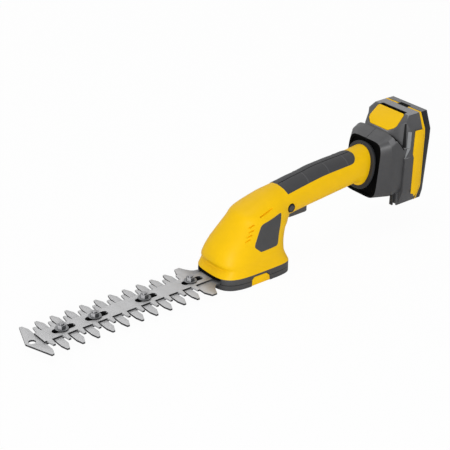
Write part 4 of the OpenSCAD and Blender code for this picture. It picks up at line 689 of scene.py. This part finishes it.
# Adapter halves
def adapter_station(h):
    return [ADAPT_X + ADAPT_LEN * h[0], ADAPT_Z + ADAPT_H * h[1], ADAPT_X + ADAPT_LEN * h[2],
            ADAPT_Z + ADAPT_H * h[3], ADAPT_HALF * h[4], h[5], h[5]]


def adapter_half(name, side):
    count = 64
    loops = []
    for h in ADAPTER_SHARES:
        s = adapter_station(h)
        ring = [rim_point(s, 180 * k / count) for k in range(count + 1)]
        ring += [rim_point(s, 180 * k / count, ADAPT_WALL) for k in range(count, -1, -1)]
        loops.append(np.array([(q[0], side * q[1], q[2]) for q in ring]))
    rings = []
    for u in (0, 0.04, 0.93, 1, 1.07, 1.9, 2, 2.1, 3):
        i = min(int(u), 2)
        rings.append(loops[i] * (1 - (u - i)) + loops[i + 1] * (u - i))
    ob = half_shell(name, rings)
    # The inner faces and the front rim face take the near-black: painted shade of the adapter's hollow
    inside = [j >= count for _ in rings[1:] for j in range(len(rings[0]))] + [True, False] * count
    ob.data.materials.append(SHELL)
    ob.data.materials.append(SHADE_AND_SEAM_BLACK)
    for f in ob.data.polygons:
        f.material_index = 1 if inside[f.index] else 0
    y0, y1 = side * -1.0, side * 60.0
    cutters = [block("channel", (187.15, y0, 40.2), (217.0, side * 29.8, 117.5))]
    upper = [(EAR_TOP_X, 117.5), (EAR_TOP_X, EAR_TOP), (EAR_X, EAR_LOW), (200.5, EAR_LOW), (200.5, 117.5)]
    lower = [(184.15, 40.2), (184.15, 41.2), (EAR_X, 44.97), (200.5, 44.97), (200.5, 40.2)]
    cutters.append(prism("upper", upper, y0, y1))
    cutters.append(prism("lower", lower, y0, y1))
    cutters.append(block("seam", (160.0, y0, 100.0), (210.0, side * 0.2, 125.0)))
    if side > 0:
        for x, z in ADAPTER_SCREWS:
            cutters.append(rod("screw_hole", x, z, ADAPTER_BOSS_IN, 6.0, 60))
    cut(ob, cutters)
    soften(ob, 26)
    return ob


for name, side in SIDES:
    piece(adapter_half(name + "_adapter_shell", side), None, "dark_plastic", name + "_adapter")
    rail = block(name + "_rail", (192.0, side * 26.8, 52.0), (195.2, side * 30.8, 96.0))
    round_edges(rail, 0.4)
    piece(rail, DARK, "dark_plastic")
for k, (x, z) in enumerate(ADAPTER_SCREWS):
    boss = tube("adapter_boss_%d" % k, x, z, ADAPTER_BOSS_IN, ADAPTER_BOSS_OUT, 5.0, 22.0)
    piece(boss, BLACK, "black_plastic")


# Dark seam along the top edge of the adapter's ears
def ear_rows(side):
    rows = []
    for i in range(25):
        z = mix(98.6, 116.0, i / 24)
        x = mix(EAR_X, EAR_TOP_X, (z - EAR_LOW) / (EAR_TOP - EAR_LOW))
        edge = []
        for back in (0.15, 1.1):
            px = x - back * 0.8
            pz = z - back * 0.6
            t = min(0.999, abs(pz - ADAPT_Z - ADAPT_H / 2) / (ADAPT_H / 2))
            half = ADAPT_HALF * (1 - t ** EAR_POWER) ** (1 / EAR_POWER)
            edge.append((px, side * (half + 0.08), pz))
        t = abs(z - ADAPT_Z - ADAPT_H / 2) / (ADAPT_H / 2)
        rows.append((edge[0], edge[1], (0, side * (1 - t ** 4), t ** 4)))
    return rows


for name, side in SIDES:
    piece(ribbon(name + "_ear_seam", ear_rows(side), 0.3), SHADE_AND_SEAM_BLACK, "black_plastic")


# Battery trim
def skin_patch(name, side, corners, offset, thick):
    a, b, c, d = [np.array(q, float) for q in corners]
    if side > 0:
        a, b, c, d = b, a, d, c
    n = np.cross(b - a, d - a)
    n = n / np.linalg.norm(n)
    verts = [tuple(q + n * lift) for lift in (offset, offset - thick) for q in (a, b, c, d)]
    faces = [(0, 1, 2, 3), (7, 6, 5, 4), (0, 4, 5, 1), (1, 5, 6, 2), (2, 6, 7, 3), (3, 7, 4, 0)]
    return to_object(name, verts, faces)


def bevel_quad(side, half, z0, a0, b0, z1, a1, b1):
    corners = ((a0, z0), (b0, z0), (b1, z1), (a1, z1))
    return [(BEVEL_X + BEVEL_LEN * share, side * mix(half, BATTERY_HALF, share), z) for share, z in corners]


def trim(name, low, high, m, slot, edge):
    ob = block(name, low, high)
    round_edges(ob, edge)
    piece(ob, m, slot, body="battery")


trim("finger_slot_edge", (211.9, -18.6, 134.1), (214.0, 18.6, 134.4), SHADE_AND_SEAM_BLACK, "black_plastic", 0.05)
trim("finger_slot_wall", (211.9, -18.9, 132.2), (212.1, 18.9, 134.2), SHADE_AND_SEAM_BLACK, "black_plastic", 0.02)
trim("rear_notch", (224.9, -7.4, 134.1), (231.4, 7.4, 134.48), SHADE_AND_SEAM_BLACK, "black_plastic", 0.1)
for name, side in SIDES:
    quad = [(224.2, side * 33.98, 117.03), (226.6, side * 33.98, 117.03), (226.6, side * 25.88, 134.3),
            (225.4, side * 25.88, 134.3)]
    band = skin_patch(name + "_shoulder_band", side, quad, 0.15, 0.6)
    piece(band, LABEL, "label_film", body="battery")
    # Raised strips on the battery's sides, coloured pale as a painted highlight on a lit facet
    for k, (half, z0, a0, b0, z1, a1, b1) in enumerate(LIT_FACET_STRIPS):
        quad = bevel_quad(side, half, z0, a0, b0, z1, a1, b1)
        strip = skin_patch(name + "_pale_strip_%d" % k, side, quad, 0.3, 0.8)
        round_edges(strip, 0.15)
        piece(strip, LIT_FACET, "dark_plastic", body="battery")
    # Black patch at the neck's notch: painted shade
    quad = bevel_quad(side, *NOTCH_SHADE)
    notch = skin_patch(name + "_notch", side, quad, 0.08, 0.5)
    piece(notch, BLACK, "black_plastic", body="battery")
    trim(name + "_stripe_cap", (225.5, side * 7.7, 134.0), (226.7, side * 25.7, 134.5),
         LABEL, "label_film", 0.1)
    trim(name + "_rear_seam", (227.9, side * 7.0, 134.0), (228.8, side * 25.4, 134.4),
         SHADE_AND_SEAM_BLACK, "black_plastic", 0.1)


# Side panels
def panel(name, side):
    outline = [(p[0] * HEAD_REAR, p[1] * SHOULDER_Z) for p in PANEL_SHARES]
    fine = []
    n = len(outline)
    for i in range(n):
        for j in range(8):
            a = outline[i]
            b = outline[(i + 1) % n]
            fine.append((mix(a[0], b[0], j / 8), mix(a[1], b[1], j / 8)))
    for _ in range(3):
        fine = [((fine[i - 1][0] + 2 * fine[i][0] + fine[(i + 1) % len(fine)][0]) / 4,
                 (fine[i - 1][1] + 2 * fine[i][1] + fine[(i + 1) % len(fine)][1]) / 4)
                for i in range(len(fine))]
    n = len(fine)
    cx = sum(p[0] for p in fine) / n
    cz = sum(p[1] for p in fine) / n
    rows = [(1.0, -1.2), (1.0, 0.0), (0.995, 0.13), (0.985, 0.2), (0.97, 0.22)]
    rows += [(k, 0.22) for k in (0.9, 0.8, 0.68, 0.55, 0.4, 0.25, 0.1)]
    verts = []
    for k, lift in rows:
        for p in fine:
            x = cx + (p[0] - cx) * k
            z = cz + (p[1] - cz) * k
            verts.append((x, side * (skin_y(x, z) + lift), z))
    faces = []
    for r in range(len(rows) - 1):
        for i in range(n):
            j = (i + 1) % n
            faces.append((r * n + i, r * n + j, (r + 1) * n + j, (r + 1) * n + i))
    last = (len(rows) - 1) * n
    faces.append(tuple(last + i for i in range(n)))
    faces.append(tuple(range(n - 1, -1, -1)))
    return to_object(name, verts, faces, 50)


for name, side in SIDES:
    piece(panel(name + "_side_panel", side), PANEL, "dark_plastic", name + "_panel")


# Soft grips
def grip_edge(u):
    if u < GRIP_BEND:
        return GRIP_ANGLE
    return GRIP_ANGLE * math.sqrt(max(0.05, 1 - ((u - GRIP_BEND) / (GRIP_END - GRIP_BEND)) ** 2))


def grip_lift(x, along, across, seam):
    d = min(along, across)
    lift = 0.35 * math.sqrt(max(0.0, 1 - (1 - min(d / 0.8, 1)) ** 2))
    for j in range(len(GRIP_LINES) - 1):
        part = (x - GRIP_LINES[j]) / (GRIP_LINES[j + 1] - GRIP_LINES[j])
        if 0 < part < 1:
            lift += 0.3 * math.sin(math.pi * part) * min(1, along) * min(1, across / 4)
    for line in GRIP_LINES[1:-1]:
        lift += 0.4 * math.exp(-((x - line) / 0.5) ** 2) * min(1, across / 4)
    return lift - 0.25 * math.exp(-(seam / 0.5) ** 2)


def grip(name, side):
    rows = 150
    columns = 36
    verts = []
    for layer in (0, 1):
        for i in range(rows + 1):
            u = mix(GRIP_START, GRIP_END, i / rows)
            s = station(u)
            along = min(i, rows - i) / rows * GRIP_RUN
            for k in range(columns + 1):
                across = (columns - k) / columns * grip_edge(u) / GRIP_ANGLE * GRIP_GIRTH
                lift = grip_lift(rim_point(s, 0)[0], along, across, k / columns * GRIP_GIRTH)
                inset = -lift if layer == 0 else GRIP_INSET
                p = rim_point(s, grip_edge(u) * k / columns, inset)
                verts.append((p[0], side * p[1], p[2]))
    w = columns + 1
    total = (rows + 1) * w
    faces = []
    for i in range(rows):
        for k in range(columns):
            a = i * w + k
            faces.append((a, a + 1, a + w + 1, a + w))
            faces.append((total + a, total + a + w, total + a + w + 1, total + a + 1))
        for a, b in ((i * w, (i + 1) * w), (i * w + columns, (i + 1) * w + columns)):
            faces.append((a, b, total + b, total + a))
    for k in range(columns):
        for r in (0, rows * w):
            faces.append((r + k, r + k + 1, total + r + k + 1, total + r + k))
    return to_object(name, verts, faces, 50)


for name, side in SIDES:
    piece(grip(name + "_soft_grip", side), GRIP, "soft_grip", name + "_grip")


# Dark seam along the top of the grips
rows = []
for i in range(151):
    u = mix(GRIP_START + 0.05, GRIP_END - 0.04, i / 150)
    s = station(u)
    low = rim_point(s, 0, -grip_lift(rim_point(s, 0)[0], 5.0, GRIP_GIRTH, 0.0) - 0.12)
    lean = (s[0] - s[2], 0, s[1] - s[3])
    rows.append(((low[0], -0.42, low[2]), (low[0], 0.42, low[2]), lean))
piece(ribbon("grip_seam", rows, 0.5), SHADE_AND_SEAM_BLACK, "black_plastic")


# Springs carried over as own copies on their bodies; the squash share for each press is worked out but not
# applied
SPRINGS = (
    ("left_release_spring", "left_tab_press", (0, 1, 0), 2.6, "housing"),
    ("right_release_spring", "right_tab_press", (0, -1, 0), 2.6, "housing"),
    ("trigger_spring", "trigger_pull", (0, 0, 1), 2.6, "housing"),
    ("lock_spring", "lock_press", (0, 1, 0), 3.1, "housing"),
    ("button_spring", "button_press", (0.65606, 0, -0.75471), 2.6, "battery"))
for node, joint, way, travel, body in SPRINGS:
    coil = bpy.data.objects.new(node + "_coil", frame["nodes"][node].data.copy())
    bpy.context.scene.collection.objects.link(coil)
    along = np.array([v.co for v in coil.data.vertices]) @ np.array(way)
    piece(coil, BOLT, "fastener_steel", node, body=body)
    share = 1 - travel * MM / float(along.max() - along.min())
    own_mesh(coil)


# Carried-over solids: materials and rounded edges
EDGES = {
    "lower_blade": 0.15, "upper_blade": 0.15, "blade_bolts": 0.15, "blade_nuts": 0.35, "blade_washers": 0.15,
    "base_cover": 0.5, "left_release": 0.6, "right_release": 0.6, "collar_ring": 0.8, "adapter_plate": 0.3,
    "trigger": 0.8, "lock_button": 0.6,
    "battery_front_case": 0.6, "battery_rear_case": 1.0, "battery_stripe": 0.1, "battery_labels": 0.15,
    "battery_button": 0.6, "rail_plate": 0.3, "terminal_block": 0.3}
# adapter_plate takes the near-black as painted shade of the adapter's hollow
OWN = {
    "base_cover": BASE, "battery_rear_case": REAR, "lock_button": LOCK, "upper_blade": UPPER,
    "blade_washers": WASHER, "adapter_plate": SHADE_AND_SEAM_BLACK, "battery_front_case": CASE, "collar_ring": COLLAR}
for name, ob in frame["nodes"].items():
    paint(ob, OWN.get(name, SLOTS[NODE_SLOT[name]]))
    round_edges(ob, EDGES.get(name, 0.1), 2 if name in EDGES else 1)


# Stage, light and camera
def plain(name, strength):
    m = bpy.data.materials.new(name)
    m.use_nodes = True
    t = m.node_tree
    bsdf = t.nodes["Principled BSDF"]
    bsdf.inputs["Base Color"].default_value = (0.9, 0.9, 0.9, 1)
    bsdf.inputs["Roughness"].default_value = 0.9
    glow = t.nodes.new("ShaderNodeEmission")
    glow.inputs["Strength"].default_value = 1
    path = t.nodes.new("ShaderNodeLightPath")
    share = t.nodes.new("ShaderNodeMath")
    share.operation = "MULTIPLY"
    share.inputs[1].default_value = strength
    both = t.nodes.new("ShaderNodeMixShader")
    t.links.new(path.outputs["Is Camera Ray"], share.inputs[0])
    t.links.new(share.outputs[0], both.inputs["Fac"])
    t.links.new(bsdf.outputs[0], both.inputs[1])
    t.links.new(glow.outputs[0], both.inputs[2])
    t.links.new(both.outputs[0], t.nodes["Material Output"].inputs["Surface"])
    return m


floor_mesh = bpy.data.meshes.new("floor")
floor_mesh.from_pydata([(-4, -4, 0), (4, -4, 0), (4, 4, 0), (-4, 4, 0)], [], [(0, 1, 2, 3)])
floor = bpy.data.objects.new("floor", floor_mesh)
bpy.context.scene.collection.objects.link(floor)
floor.data.materials.append(plain("pale_floor", 0.96))

world = bpy.data.worlds.new("studio")
bpy.context.scene.world = world
world.use_nodes = True
t = world.node_tree
sky = t.nodes["Background"]
sky.inputs["Color"].default_value = (1, 1, 1, 1)
path = t.nodes.new("ShaderNodeLightPath")
seen = t.nodes.new("ShaderNodeMath")
seen.operation = "MAXIMUM"
t.links.new(path.outputs["Is Camera Ray"], seen.inputs[0])
t.links.new(path.outputs["Is Glossy Ray"], seen.inputs[1])
level = t.nodes.new("ShaderNodeMapRange")
level.inputs["To Min"].default_value = 0.45
level.inputs["To Max"].default_value = 1.0
t.links.new(seen.outputs[0], level.inputs["Value"])
t.links.new(level.outputs["Result"], sky.inputs["Strength"])


def lamp(name, place, aim, size, watts):
    data = bpy.data.lights.new(name, "AREA")
    data.shape = "DISK"
    data.size = size
    data.energy = watts
    ob = bpy.data.objects.new(name, data)
    bpy.context.scene.collection.objects.link(ob)
    ob.location = place
    ob.rotation_euler = (Vector(aim) - Vector(place)).to_track_quat("-Z", "Y").to_euler()


lamp("key", (-1.2, -1.3, 0.52), (0.0, 0.0, 0.06), 0.35, 15)
lamp("top", (-0.2, 0.1, 1.7), (0.0, 0.0, 0.05), 0.8, 5)
lamp("back", (0.3, 1.2, 1.0), (0.0, 0.0, 0.06), 0.9, 2)

cam = bpy.data.cameras.new("camera")
cam.lens = 102.26
cam.sensor_width = 36
cam.clip_end = 20
eye = bpy.data.objects.new("camera", cam)
bpy.context.scene.collection.objects.link(eye)
right = Vector((0.7834, -0.6213, 0.0155))
up = Vector((0.2722, 0.3655, 0.8902))
ahead = Vector((0.5587, 0.6932, -0.4554))
turn = Matrix((right, up, -ahead)).transposed().to_4x4()
eye.matrix_world = Matrix.Translation(Vector((-0.7551, -0.9073, 0.6576))) @ turn
bpy.context.scene.camera = eye
bpy.context.scene.view_settings.view_transform = "Standard"
